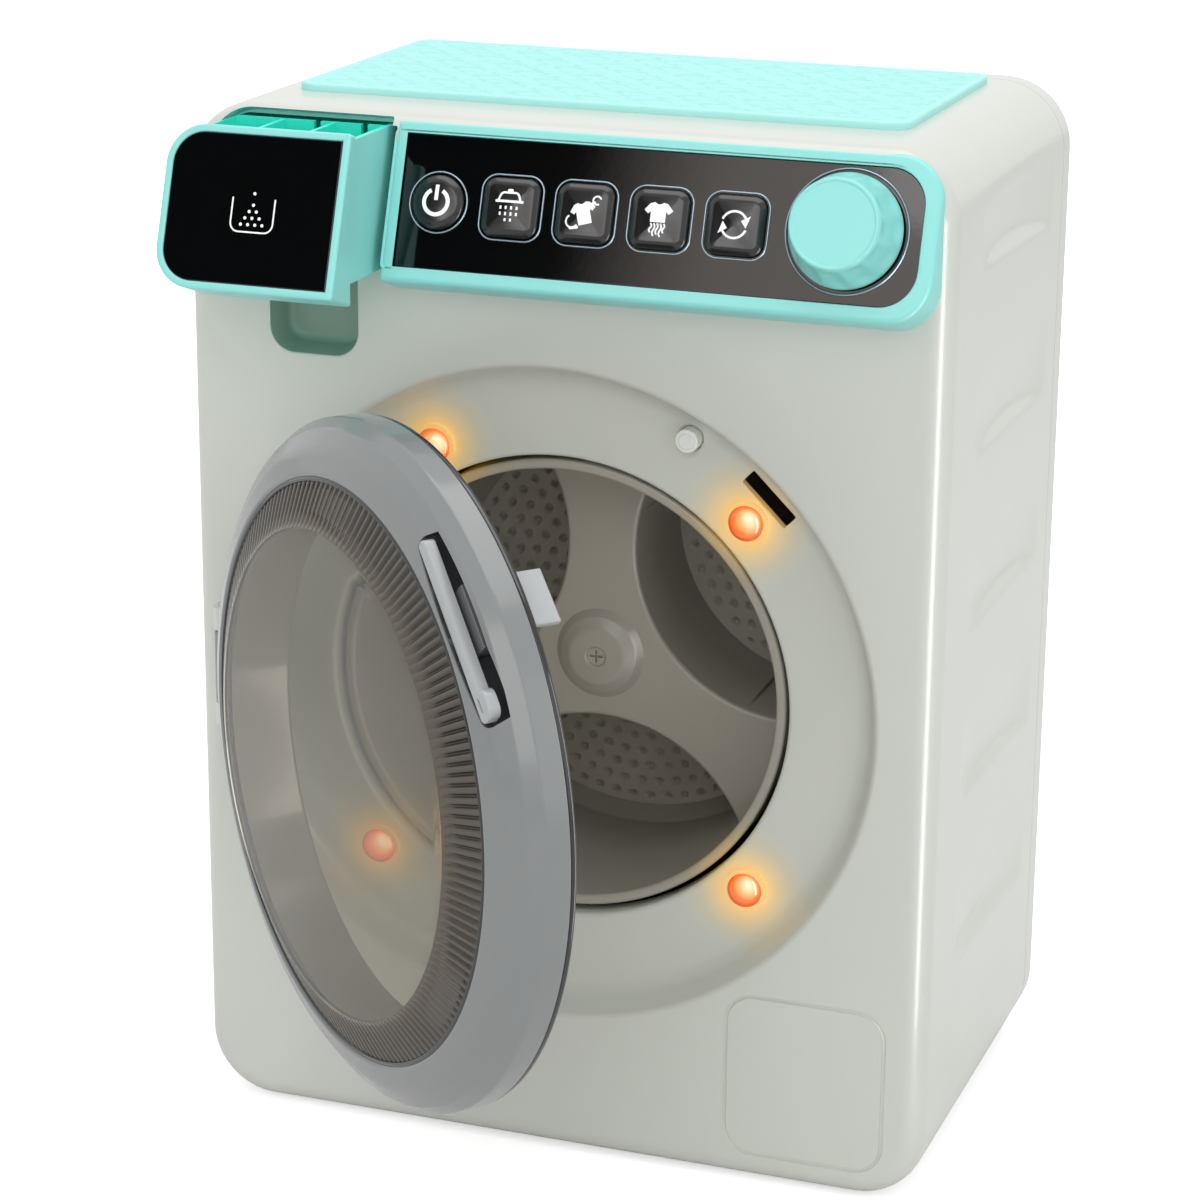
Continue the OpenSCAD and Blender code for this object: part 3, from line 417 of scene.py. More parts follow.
g.links.new(mixer.outputs[2], go.inputs["Colour"])
haze = node(g, "TexNoise", in_2=38.0, in_3=4.0, in_4=0.6)
g.links.new(co, haze.inputs["Vector"])
g.links.new(maths(g, "ADD", gi.outputs["Roughness"],
                  maths(g, "MULTIPLY", maths(g, "SUBTRACT", haze.outputs[0], 0.5), gi.outputs["Haze"])),
            go.inputs["Roughness"])
grain = node(g, "TexNoise", in_3=2.0, in_4=0.5)
g.links.new(co, grain.inputs["Vector"])
g.links.new(gi.outputs["Grain"], grain.inputs["Scale"])
g.links.new(grain.outputs[0], go.inputs["Height"])


def bare(name):
    """A new material, its node tree and its shader."""
    m = bpy.data.materials.new(name)
    m.use_nodes = True
    return m, m.node_tree, m.node_tree.nodes["Principled BSDF"]


def plastic(name, colour, shade, rough=0.3, haze=0.08, grain=500.0, ripple=0.02, coat=0.0, **sockets):
    """A moulded plastic: the moulding group feeds colour, roughness and, through a bump, the normal."""
    m, t, b = bare(name)
    u = t.nodes.new("ShaderNodeGroup")
    u.node_tree = MOULDING
    for key, value in (("Colour", hexed(colour)), ("Shade", hexed(shade)), ("Roughness", rough), ("Haze", haze),
                       ("Grain", grain)):
        u.inputs[key].default_value = value
    bump = node(t, "Bump")
    bump.inputs["Strength"].default_value = ripple
    bump.inputs["Distance"].default_value = 0.001
    t.links.new(u.outputs["Colour"], b.inputs["Base Color"])
    t.links.new(u.outputs["Roughness"], b.inputs["Roughness"])
    t.links.new(u.outputs["Height"], bump.inputs["Height"])
    t.links.new(bump.outputs[0], b.inputs["Normal"])
    b.inputs["Coat Weight"].default_value = coat
    b.inputs["Coat Roughness"].default_value = 0.06
    for key, value in sockets.items():
        b.inputs[key.replace("_", " ")].default_value = value
    return m


# %% [markdown]
# ### The painted glow of the lamps
# The light that each lamp throws on the shell beside it is painted: a round emission glow and a tint in the
# shell's colour, orange near the lens and dark yellow further out. The distance to the four lenses is worked out
# once in a group, so the painted glow on the shell and the drum fades with the same mask.

# %% The painted glow group
g, gi, go = new_group("painted_lamp_glow", [("Reach", "NodeSocketFloat", 0.016)],
                      [("Colour", "NodeSocketColor"), ("Mask", "NodeSocketFloat")])
PAINTED_GLOW = g
co = place_of(g)
total = None
for x, z in LAMPS:
    far = node(g, "VectorMath", operation="DISTANCE")
    g.links.new(co, far.inputs[0])
    far.inputs[1].default_value = (x / 1000, RECESS_Y / 1000, z / 1000)
    near = maths(g, "SUBTRACT", 1.0, maths(g, "DIVIDE", far.outputs["Value"], gi.outputs["Reach"]), True)
    total = near if total is None else maths(g, "MAXIMUM", total, near)
glow = ramp(g, total, [(0.0, grey(0.0)), (0.3, hexed("2e2608")), (0.55, hexed("86661c")), (0.75, hexed("c88a2c")),
                       (1.0, hexed("e88c34"))])
g.links.new(glow, go.inputs["Colour"])
g.links.new(maths(g, "POWER", total, 1.4), go.inputs["Mask"])


def tint(material, mask, colour):
    """The base colour leans towards another colour where the mask is 1."""
    t = material.node_tree
    base = t.nodes["Principled BSDF"].inputs["Base Color"]
    lean = node(t, "Mix", data_type="RGBA")
    lean.inputs[7].default_value = hexed(colour)
    t.links.new(mask, lean.inputs[0])
    t.links.new(base.links[0].from_socket, lean.inputs[6])
    t.links.new(lean.outputs[2], base)


def add_painted_glow(material, strength, reach, colour):
    """Painted light round each lamp: the surface emits a little orange, and its own colour leans towards the given
    one.
    """
    t = material.node_tree
    b = t.nodes["Principled BSDF"]
    u = t.nodes.new("ShaderNodeGroup")
    u.node_tree = PAINTED_GLOW
    u.inputs["Reach"].default_value = reach
    t.links.new(u.outputs["Colour"], b.inputs["Emission Color"])
    b.inputs["Emission Strength"].default_value = strength
    tint(material, u.outputs["Mask"], colour)


# %% The finishes
SHELL = plastic("shell_plastic", "cccfc7", "c4c8bf", rough=0.3, haze=0.06, ripple=0.015, coat=0.25)
# painted light: the lamps' glow on the shell, emitted and tinted yellow into its colour
add_painted_glow(SHELL, 0.62, 0.018, "ffd060")
AQUA = plastic("turquoise_plastic", "90ddd8", "86d6d0", rough=0.33, haze=0.06, ripple=0.02)
TRAY = plastic("tray_turquoise", "90ddd8", "86d6d0", rough=0.33, haze=0.06, ripple=0.02)
MAT = plastic("turquoise_mat", "a8e8e3", "9ee2dc", rough=0.42, haze=0.08, ripple=0.03)
GLOSS = plastic("black_gloss", "08090a", "0c0c0d", rough=0.05, haze=0.03, ripple=0.004, coat=0.3)
KEY = plastic("black_key", "101012", "161618", rough=0.22, haze=0.06, ripple=0.01, coat=0.3)
HANDLE = plastic("handle_grey", "a7aaac", "9fa2a4", rough=0.24, haze=0.06, ripple=0.012, coat=0.25)
GREY = plastic("door_grey", "808383", "797c7c", rough=0.2, haze=0.06, ripple=0.012, coat=0.25)
DRUM = plastic("drum_grey", "a8a399", "a09b91", rough=0.24, haze=0.05, ripple=0.006)
# painted light: the lamps' glow on the drum, emitted and tinted into its colour
add_painted_glow(DRUM, 0.5, 0.023, "c8a860")
# a darker copy of the shell's plastic for the finger recess: painted shade from the drawer above it
RECESS_SHADE = plastic("painted_recess_shade", "8aa194", "82998c", rough=0.34, haze=0.06, ripple=0.015)
# a darker copy of the door's grey for the wall of the handle's well: painted shade
WELL_SHADE = plastic("painted_well_shade", "4c4e50", "454749", rough=0.3, haze=0.05, ripple=0.01)
# the liner tube: a lighter copy of the flange's dark smoked plastic, painted light for what shines through the smoke
LINER_LIT = plastic("liner_smoke_painted_light", "8a857e", "827d76", rough=0.2, haze=0.03, ripple=0.0, coat=0.3)
FLANGE = plastic("flange_smoke", "121111", "191817", rough=0.1, haze=0.05, ripple=0.01, coat=0.4)
PEG = plastic("white_peg", "e4e6e2", "dcdfda", rough=0.3)
# white print that emits a little light of its own: painted glow
LIT_INK = plastic("white_print_painted_glow", "f2f4f4", "e9ecec", rough=0.4, ripple=0.005, Emission_Color=grey(1.0),
              Emission_Strength=0.12)
TRIM = plastic("silver_trim", "9fb0bd", "93a5b3", rough=0.22, Metallic=0.8)
STEEL = plastic("plated_steel", "b9bcc0", "a9adb2", rough=0.28, grain=900.0, Metallic=1.0)
BRASS = plastic("turned_brass", "c9a15a", "b98f49", rough=0.3, Metallic=1.0)
BOARD = plastic("board_green", "1d5c3c", "174d32", rough=0.5)
DARK = plastic("dark_moulding", "222224", "1b1b1d", rough=0.45, ripple=0.05)
NATURAL = plastic("natural_gear", "e3e2d8", "d9d8cd", rough=0.42)
SLEEVE = plastic("cell_sleeve", "3d7a55", "336b49", rough=0.3)


PANE = plastic("smoked_pane", "bcb6a6", "bcb6a6", rough=0.02, haze=0.02, ripple=0.0, Transmission_Weight=1.0,
               IOR=1.45)
RIBS = plastic("smoked_ribs", "544c42", "4b443b", rough=0.24, haze=0.03, ripple=0.0, coat=0.2)
BLOCK = plastic("block_grey", "707274", "6a6c6e", rough=0.3, haze=0.05, ripple=0.01)
LAMP = plastic("lamp_lens", "6a260a", "722c0c", rough=0.12, haze=0.03, coat=0.5)

# %% [markdown]
# Four finishes change over a piece. The cups of the drawer's tray lean to a saturated turquoise as painted shade,
# the drum has painted shade towards its floor and in its dimples, the window's ribs have painted shade in their
# grooves, and a lamp shines most where it faces the eye.

# %% Finishes that change over a piece
CUPS_X0, CUPS_X1, DIMPLE_END = -0.0873, -0.0447, 0.0142    # metres
# painted shade: the tray's cups, in shadow inside the cabinet, lean to a saturated turquoise
t = TRAY.node_tree
split = node(t, "SeparateXYZ")
t.links.new(place_of(t), split.inputs[0])
tint(TRAY, maths(t, "MULTIPLY", maths(t, "LESS_THAN", split.outputs[0], CUPS_X1),
                 maths(t, "GREATER_THAN", split.outputs[0], CUPS_X0)), "38f0da")
# painted shade: the pocket walls darken towards the floor and most at their foot, the floor itself stays, and the
# dimples darken again
t = DRUM.node_tree
depth_shade = [(0.1, 0.0), (0.55, 0.2), (0.8, 0.22), (0.95, 0.25), (0.964, 0.0), (0.974, 0.0), (0.988, 0.15), (1.0, 0.2)]
tint(DRUM, ramp(t, axis_of(t, 1, ARM_Y / 1000, DIMPLE_END), [(at, grey(k)) for at, k in depth_shade]), "141210")
# painted shade: the ribs' colour darkens in their grooves
t = RIBS.node_tree
tint(RIBS, maths(t, "MULTIPLY", node(t, "Attribute", attribute_name="groove").outputs["Fac"], 0.85), "191613")
t = LAMP.node_tree
edge = node(t, "LayerWeight", in_0=0.35)
rim = [(0.0, "ffe0b4"), (0.06, "ffb070"), (0.15, "f47a34"), (0.3, "dc5a1c"), (0.45, "b04410"), (0.62, "74300a"),
       (1.0, "3c1604")]
b = t.nodes["Principled BSDF"]
t.links.new(ramp(t, edge.outputs["Facing"], [(at, hexed(code)) for at, code in rim]), b.inputs["Emission Color"])
b.inputs["Emission Strength"].default_value = 1.2

# %% [markdown]
# ## The cabinet
# The front half is one moulded shell. Its outline is a rounded rectangle, and a profile carried round that outline
# gives the front fillet and the sides. The round recess is turned about the porthole's axis. What is left of the
# front is flat, so it is filled with triangles between those loops. Only the openings that cut across the fillet
# are booleans.

# %% Cabinet outline and side reliefs
SHINGLES = ((238.0, 235.4), (190.5, 190.0), (145.0, 145.6), (100.5, 98.8), (54.8, 53.8))    # front and back z
SHINGLE_Y, SHINGLE_HALF, SHINGLE_DEEP = 2.0, 37.0, 2.45


def case(inset, side=170):
    """The cabinet seen from the front, with many points up its two sides for the reliefs."""
    return rounded(-WIDTH / 2, 0, WIDTH / 2, HEIGHT, CORNER, inset, steps=10, side=side)


def relief(y, z):
    """Depth of the side panel: five shingles, each a lens along a nearly level line; it falls in over up to 5 mm
    above the line and comes back out over the next 27 mm."""
    deep = np.zeros_like(y)
    for low, high in SHINGLES:
        s = (y - SHINGLE_Y) / SHINGLE_HALF
        t = z - (low + (high - low) * (y + 35.0) / 72.0)
        lens = np.clip(1 - s * s, 0, 1)
        rise = np.clip(t / (0.8 + 4.2 * lens), 0, 1)
        rise = rise * rise * (3 - 2 * rise)
        fade = 1 - np.clip((t - 4) / 27.0, 0, 1)
        deep += SHINGLE_DEEP * lens ** 0.8 * rise * fade ** 1.6
    return deep


IN_FRONT, IN_R, IN_RUN = FRONT + WALL, RECESS_R + 0.3, RUN_IN + 0.5    # the same three on the shell's inside
AROUND = 320
lip = soften([(RECESS_R, FRONT), (RECESS_R - 2.5, FRONT), (RECESS_R - 6.2, RECESS_Y), (76, RECESS_Y)],
             (2.2, 4.2), steps=8, hold=0.3)
mouth = soften([(66, RECESS_Y), (61.5, RECESS_Y), (61.5, RECESS_Y + 7.5), (64, RECESS_Y + 7.5),
                (64, RECESS_Y + WALL), (RECESS_R - 0.4, RECESS_Y + WALL), (IN_R, IN_FRONT)],
               (1.0, 0.8, 0.8, 0.5, 2.0), steps=4)
outer = soften([(RUN_IN, FRONT), (0, FRONT), (0, CUT_Y)], (10,), steps=12, hold=0.5)
inner = soften([(WALL, CUT_Y), (WALL, IN_FRONT), (IN_RUN, IN_FRONT)], (7.5,), steps=6, hold=0.5)
shell = mesh_of("shell_blank", [
    carried(case, outer), carried(case, [outer[-1], inner[0]]), carried(case, inner),
    turned(np.concatenate([lip, mouth]), AROUND),
    flat([case(RUN_IN), ring(RECESS_R, PORT, AROUND)], FRONT),
    flat([case(IN_RUN), ring(IN_R, PORT, AROUND)], IN_FRONT)])


# %% [markdown]
# A cutter whose mouth flares leaves a rounded edge behind it, so the finger recess, the lamp holes and the latch
# slot come out with soft lips although each is one plain subtraction.

# %% Cutters
FINGER_DEEP, FINGER_LIP, FINGER_DRAFT, FINGER_EDGE = 9.0, 0.8, 1.2, 2.0
MOUTH_Y, POCKET_N, GROOVE_R = -54.5, -4.2, 0.55


def finger(s):
    return rounded(-77, 209, -53, 238, 6.5, s, steps=8)


def finger_rows():
    """The recess flares by a lip at the surface and narrows by its draft to a floor with a rounded edge."""
    a, f = np.linspace(0.1, np.pi / 2, 6)[1:], np.linspace(0, np.pi / 2, 6)
    rows = [(-FINGER_LIP, FRONT - 2 * FINGER_LIP), (-FINGER_LIP, FRONT - 0.02)]
    rows += [(-FINGER_LIP * (1 - np.sin(t)), FRONT + FINGER_LIP * (1 - np.cos(t))) for t in a]
    return rows + [(FINGER_DRAFT + FINGER_EDGE * (1 - np.cos(t)),
                    FRONT + FINGER_DEEP - FINGER_EDGE + FINGER_EDGE * np.sin(t)) for t in f]


def hole(outline, flare, end, place=on_front):
    """A hole through the recess's floor: rows of (inset, depth below the floor) and the depth where it ends."""
    rows = [(flare[0][0], -1.0), (flare[0][0], -0.02), *flare[1:]]
    return plug(outline, [(s, RECESS_Y + y) for s, y in rows] + [(0, end)], place)


def drawer_line(s):
    return rounded(-91.9, -0.4, -43.1, 40.8, (10.4, 0.8, 0.8, 10.4), s)


def mouth_line(s):
    """The opening above the drawer, seen from the front."""
    return rounded(-88.7, 232.9, -41.7, 268.2, (0.5, 0.5, 0.5, 5), s, steps=4)


cup = plug(lambda s: rounded(-79, 207, -51, 231, 8, s), [(0, -61.0), (0, -51.2)])
holes = []
for c in LAMPS:
    holes += hole(lambda s, c=c: ring(4.85 - s, c, 48), [(-0.7, 0), (-0.3, 0.15), (0, 0.6)], -50)
holes += hole(lambda s: ring(3.15 - s, SENSOR, 40), [(-0.5, 0), (0, 0.5)], -50)
holes += hole(lambda s: rounded(76.3, -7.8, 80.7, 7.8, 0.5, s, steps=3), [(-0.3, 0), (0, 0.3)], -49, at_latch)
pocket = plug(drawer_line, [(0, POCKET_N), (0, 20)], on_panel)
mouth_cut = plug(mouth_line, [(0, FRONT - 8), (0, MOUTH_Y)])
seat = plug(lambda s: rounded(-41.2, 1.0, 95.8, 39.4, (0.8, 10, 10, 0.8), s), [(0, -24), (0, 18)], on_panel)
groove_rows = [(GROOVE_R + a, FRONT + b) for a, b in ring(GROOVE_R, steps=12)]
groove = [carried(lambda s: rounded(47, 7, 90, 52, 8, s, steps=8), groove_rows + groove_rows[:1])]

# %% Front shell, cut and joined to its sides
front = carve("front", shell, adds=[cup], cuts=[holes, pocket, mouth_cut, seat, plug(finger, finger_rows()), groove])
# the faces that close it at its rear edge go, because the sides continue there
bm = bmesh.new()
bm.from_mesh(front)
gone = [f for f in bm.faces if abs(f.normal.y) > 0.99 and all(abs(v.co.y - CUT_Y / 1000) < 1e-6 for v in f.verts)]
bmesh.ops.delete(bm, geom=gone, context="FACES_ONLY")
bm.to_mesh(front)
bm.free()
ys = np.concatenate([np.linspace(CUT_Y, 44, 62), [46, 48, SEAM - 0.7]])
sides = np.stack([np.column_stack([case(0), np.full(len(case(0)), y)]) for y in ys])
deep = relief(sides[..., 2], sides[..., 1])
fade = np.clip((sides[..., 2] - CUT_Y) / 4, 0, 1)
sides[..., 0] -= np.sign(sides[..., 0]) * np.where(np.abs(sides[..., 0]) > WIDTH / 2 - 0.1, deep * fade, 0)
rim = soften([(0, SEAM - 0.7), (0, SEAM), (WALL, SEAM), (WALL, CUT_Y)], (0.5, 0.3), steps=3)
shell_parts = [patch_of(front), skin(on_front(sides)), carried(case, rim)]
cabinet = even_normals(piece("cabinet_shell", "housing", SHELL, shell_parts, ("cabinet",)))

# %% [markdown]
# The pocket and the mouth behind the drawer front are lined with the turquoise plastic, and the finger recess gets
# a darker green-grey as painted shade, for the shade of the drawer over it. Both are faces of the shell, chosen by
# where their middle lies.

# %% Lined faces and the recess's painted shade
mid = numbers(cabinet.data.polygons, "center")
up, out, y = mid[:, 2] - PANEL_Z, mid[:, 1] - PANEL_Y, mid[:, 1]
v, n = out * np.sin(TILT) + up * np.cos(TILT), up * np.sin(TILT) - out * np.cos(TILT)
in_pocket = inside(np.column_stack([mid[:, 0], v]), drawer_line(-0.05)) & (n > POCKET_N - 0.1)
in_mouth = inside(mid[:, [0, 2]], mouth_line(-0.1)) & (y < MOUTH_Y + 0.5) & (y > FRONT + 0.05)
in_recess = inside(mid[:, [0, 2]], finger(-0.4)) & (y > FRONT + 0.3) & (y < RECESS_Y + 0.5)
for material in (AQUA, RECESS_SHADE):
    cabinet.data.materials.append(material)
# material 1 is the turquoise lining, material 2 the painted shade of the finger recess
lining_and_shade = np.where(in_recess & ~in_mouth, 2, np.where(in_pocket | in_mouth, 1, 0)).astype(np.int32)
cabinet.data.polygons.foreach_set("material_index", lining_and_shade)
print("lined faces", int((lining_and_shade == 1).sum()), "recess faces", int((lining_and_shade == 2).sum()))

# %% [markdown]
# ## The rear cover
# The same outline with the same fillet, and one flat wall with everything that the back of such a toy has: screw
# wells, a speaker grille, cooling slots and the opening of the battery box. Each hole is a loop in the wall and a
# short tube through it.

# %% Rear cover
def tube_hole(loop, place=on_front, y0=BACK, y1=BACK - WALL):
    return skin(place(np.stack([np.column_stack([loop, np.full(len(loop), y)]) for y in (y0, y1)])))


wells = [ring(3.2, (x, z), 32) for half, z in ((88, 30), (88, 135), (80, 252)) for x in (-half, half)]
grid = [(i, j) for i in range(-2, 3) for j in range(-2, 3) if abs(i) + abs(j) < 4]
grille = [ring(1.3, (58 + 5 * i, 222 + 5 * j), 20) for i, j in grid]
vents = [rounded(-30, 190 + 7 * i, 30, 192.4 + 7 * i, 1.1, steps=4) for i in range(5)]
hatch = [rounded(-30.5, 11, 30.5, 59.2, 0.6, steps=2)]
openings = wells + grille + vents + hatch
wall_rows = soften([(0, SEAM), (0, BACK), (RUN_IN, BACK)], (10,), steps=12, hold=0.5)
in_rows = soften([(IN_RUN, BACK - WALL), (WALL, BACK - WALL), (WALL, SEAM)], (7.5,), steps=6, hold=0.5)
case_back = lambda s: case(s, side=1)
even_normals(piece(
    "rear_shell", "housing", SHELL,
    [carried(case_back, rows) for rows in (wall_rows, in_rows, [(0, SEAM), (WALL, SEAM)])]
    + [flat([case_back(RUN_IN), *openings], BACK), flat([case_back(IN_RUN), *openings], BACK - WALL)]
    + [tube_hole(h) for h in openings], ("rear_cover",)))

# %% [markdown]
# ## The top mat
# A soft mat with a woven relief. It is one fine grid: each row is scaled to the width that the mat's rounded
# corners leave it, and the height comes from slanted tiles whose ribs run one way and the other in turn, so the
# light catches every tile.

# %% Mat
TILE_U, TILE_W, SLANT = 8.4, 5.2, 0.9
MAT_HALF, MAT_Y0, MAT_Y1, MAT_R, MAT_TOP = 80.6, -37.1, 46.6, 5.0, HEIGHT + 1.4
EDGE_R, EDGE_LIP, MARGIN = 0.8, 0.55, 1.9


def tiles(x, y):
    """Height of the weave: parallelograms on a slanted lattice, each with four ribs along it or across it."""
    u = (x + SLANT * y) / TILE_U
    w = y / TILE_W
    cu, cw = np.floor(u), np.floor(w)
    fu, fw = u - cu - 0.5, w - cw - 0.5
    edge = np.minimum((0.5 - np.abs(fu)) * TILE_U, (0.5 - np.abs(fw)) * TILE_W)
    tile = np.clip((edge - 0.3) / 0.6, 0, 1)
    ribs = 0.5 + 0.5 * np.cos(2 * np.pi * 4 * np.where((cu + cw) % 2 > 0, fu, fw))
    return tile * (0.34 + 0.2 * ribs)


ends = np.array([0, 0.15, 0.4, 0.8, 1.3])
ys = np.concatenate([MAT_Y0 + ends, np.linspace(MAT_Y0 + MARGIN, MAT_Y1 - MARGIN, 132), (MAT_Y1 - ends)[::-1]])
tight = np.clip(MAT_R - np.minimum(ys - MAT_Y0, MAT_Y1 - ys), 0, MAT_R)
wide = MAT_HALF - MAT_R + np.sqrt(MAT_R * MAT_R - tight * tight)
near = 1 - ends / MAT_HALF
us = np.concatenate([-near, np.linspace(MARGIN / MAT_HALF - 1, 1 - MARGIN / MAT_HALF, 246), near[::-1]])
X, Y = wide[:, None] * us, np.repeat(ys[:, None], len(us), 1)
edge = np.minimum(np.minimum(Y - MAT_Y0, MAT_Y1 - Y), (1 - np.abs(us)) * wide[:, None])
drop = EDGE_R * (1 - np.sqrt(1 - (1 - np.clip(edge / EDGE_R, 0, 1)) ** 2))
weave = tiles(X, Y) * np.clip((edge - 2.2) / 0.8, 0, 1)
lipped = np.clip((2.4 - edge) / 0.5, 0, 1) * EDGE_LIP
top = np.stack([X, Y, MAT_TOP + np.maximum(weave, lipped) - drop], -1)
border = np.concatenate([top[0, :-1], top[:-1, -1], top[-1, :0:-1], top[:0:-1, 0]])
foot = border.copy()
foot[:, 2] = HEIGHT
piece("mat_weave", "housing", MAT,
      [skin(top, False), skin(np.stack([border, foot])), (foot, [list(range(len(foot)))])],
      ("top_mat",), sharp=50)

# %% [markdown]
# ## The control panel
# The frame round the panel, the gloss black plate and the silver outlines are all rounded rectangles in the
# panel's own tilted plane, so they are drawn flat and tilted at the end.

# %% Panel frame and plate
FRAME_DEEP, PLATE_N, PLATE_BACK = -17.0, -0.8, -2.35


def bezel(s):
    return rounded(-42.2, 0, 96.8, PANEL_V, (0.9, 11, 11, 0.9), s, steps=12)


def plate(s):
    return rounded(-41.4, 4.0, 92.8, 37.0, (0.5, 9, 9, 0.5), s, steps=12)


def key_line(i, r, half, corner, s=0.0, steps=8, around=64):
    """Outline of a key or of what goes round it: a circle for the first key, a rounded square for the others."""
    x = KEYS[i]
    if i == 0:
        return ring(r - s, (x, ROW_V), around)
    return rounded(x - half, ROW_V - half, x + half, ROW_V + half, corner, s, steps)


outside = soften([(3.3, 0), (0, 0), (0, FRAME_DEEP)], (2.4,), steps=8)
inside_rows = soften([(-0.75, 0), (-0.1, 0), (-0.1, -2.4), (2, -2.4), (2, FRAME_DEEP)],
                     (0.45, 0.2, 0.2), steps=4, hold=0.1)
even_normals(piece("panel_frame", "housing", AQUA,
                   [carried(bezel, outside, on_panel), carried(plate, inside_rows, on_panel),
                    flat([bezel(3.3), plate(-0.75)], 0, on_panel), flat([bezel(0), plate(2)], FRAME_DEEP, on_panel)],
                   ("panel_bezel",)))
openings = [key_line(i, 7.0, 7.5, 3.4) for i in range(5)] + [ring(3.4, KNOB, 32)]
edge_rows = soften([(0.35, PLATE_N), (0, PLATE_N), (0, PLATE_BACK)], (0.25,), steps=3, hold=0.05)
plate_parts = [carried(plate, edge_rows, on_panel), flat([plate(0.35), *openings], PLATE_N, on_panel),
               flat([plate(0), *openings], PLATE_BACK, on_panel)]
plate_parts += [tube_hole(h, on_panel, PLATE_N, PLATE_BACK) for h in openings]
even_normals(piece("panel_plate", "housing", GLOSS, plate_parts, ("panel_fascia",)))


def hoop(outline, wide, high):
    """A closed half-round moulding on the plate that follows an outline."""
    rows = [(wide / 2 * (1 - np.cos(t)), PLATE_N - 0.05 + high * np.sin(t)) for t in np.linspace(0, np.pi, 9)]
    return carried(outline, rows + rows[:1], on_panel)


piece("key_outlines", "housing", TRIM,
      [hoop(lambda s, i=i: key_line(i, 7.75, 8.25, 4.2, s, 10, 72), 0.5, 0.35) for i in range(5)],
      ("button_rims",))
piece("knob_halo", "housing", TRIM, [hoop(lambda s: ring(15.3 - s, KNOB, 128), 0.7, 0.55)],
      ("knob_ring",))

# %% [markdown]
# ### Keys
# A key is a shallow pillow. Rows of its own outline shrink towards the middle, and the height of each point is the
# edge's curve plus a dome, so the pillow has no crease from its corners.

# %% Keys
NAMES = ("power", "shower", "shirt", "steam", "cycle")
KEY_TOP, KEY_BACK = 0.55, -3.55


def rise(x, y, i):
    """Dome of a key: a parabola on the round key; on a square one a low pyramid whose ridges are rounded off."""
    if i == 0:
        return 0.5 * np.clip(1 - (x * x + y * y) / 46.0, 0, 1)
    far = (x ** 6 + y ** 6 + 0.6 ** 6) ** (1 / 6)
    return 0.75 * np.clip(1 - far / 7.3, 0, 1)


def pillow(i):
    """A key's collar, pillow and stem."""
    line = lambda s: key_line(i, 6.8, 7.3, 3.2, s)
    collar = -0.9 if i else -1.2
    rows = soften([(collar, KEY_BACK), (collar, -2.7), (0, -2.7), (0, -0.2), (1.5, KEY_TOP), (6.6, KEY_TOP)],
                  (0.1, 0.1, 0.9, 1.6), steps=5, hold=0.2)
    rows = np.vstack([rows[:-1], [(s, KEY_TOP) for s in np.linspace(2.6, 6.6, 7)]])
    P = np.stack([np.column_stack([line(s), np.full(len(line(s)), h)]) for s, h in rows])
    P[..., 2] += np.where(P[..., 2] > -0.1, rise(P[..., 0] - KEYS[i], P[..., 1] - ROW_V, i), 0)
    last = len(P[-1])
    cap = (on_panel(np.vstack([P[-1], P[-1].mean(0)])), [[k, (k + 1) % last, last] for k in range(last)])
    stem = plug(lambda s: ring(1.8 - s, (KEYS[i], ROW_V), 24), [(0, -5.9), (0, KEY_BACK)], on_panel)
    return [skin(on_panel(P)), cap, flat([line(collar)], KEY_BACK, on_panel)] + stem


for i, name in enumerate(NAMES):
    piece(name + "_key", name, KEY, pillow(i), (name + "_button",))


# %% [markdown]
# ### Printed signs
# The signs are plain pictograms in white print. Each is a thin closed shape that follows the key's dome, so it
# stays sharp from close by and needs no picture.

# %% Sign shapes
def band(points, width):
    """A closed outline round an open line: its points shifted to both sides by half the width."""
    P = np.array(points, float)
    d = np.gradient(P, axis=0)
    n = np.stack([-d[:, 1], d[:, 0]], -1) / np.linalg.norm(d, axis=1, keepdims=True)
    return np.vstack([P + n * width / 2, (P - n * width / 2)[::-1]])


def arc(cx, cy, r, a0, a1, steps):
    """Points of an arc between two angles in degrees."""
    t = np.radians(np.linspace(a0, a1, steps))
    return np.stack([cx + r * np.cos(t), cy + r * np.sin(t)], -1)


def closer(loop):
    """The same outline with points close enough together to follow a dome."""
    rows = []
    for a, b in zip(loop, np.roll(loop, -1, 0)):
        k = max(1, int(np.ceil(np.linalg.norm(b - a) / 0.35)))
        rows.append(a + (b - a) * (np.arange(k) / k)[:, None])
    return np.concatenate(rows)


def printed(loops, surface, place, thick=0.05):
    """Thin closed solids from outlines: top face just proud of a surface, walls, and a bottom just under it."""
    out = []
    for loop in loops:
        loop = closer(np.array(loop, float))
        v, f = flat([loop], 0, lambda p: p, 0.45)
        for k in (thick, -thick):
            out.append((np.column_stack([v[:, :2], surface(v[:, 0], v[:, 1]) + k]), f))
        out.append(skin(np.stack([np.column_stack([loop, surface(*loop.T) + k]) for k in (thick, -thick)])))
    return [moved(q, place) for q in out]


def spun(loop, degrees, dx=0, dy=0, k=1.0):
    """An outline turned and scaled about its middle, then shifted."""
    a = np.radians(degrees)
    return loop @ np.array([[np.cos(a), np.sin(a)], [-np.sin(a), np.cos(a)]]) * k + [dx, dy]


def mirrored(right):
    """A closed outline from its right half, whose first point alone lies on the middle line."""
    right = np.array(right)
    return np.vstack([right, right[:0:-1] * [-1, 1]])


def wave(x, y, h):
    t = np.linspace(0, 1, 14)
    return band(np.stack([x + 0.28 * np.sin(2 * np.pi * t), y - h * t], -1), 0.4)


def dash(x, y, mid, end):
    """A short upright stroke from a height down to another."""
    return band([(x, y), (x, y - mid), (x, y - end)], 0.5)


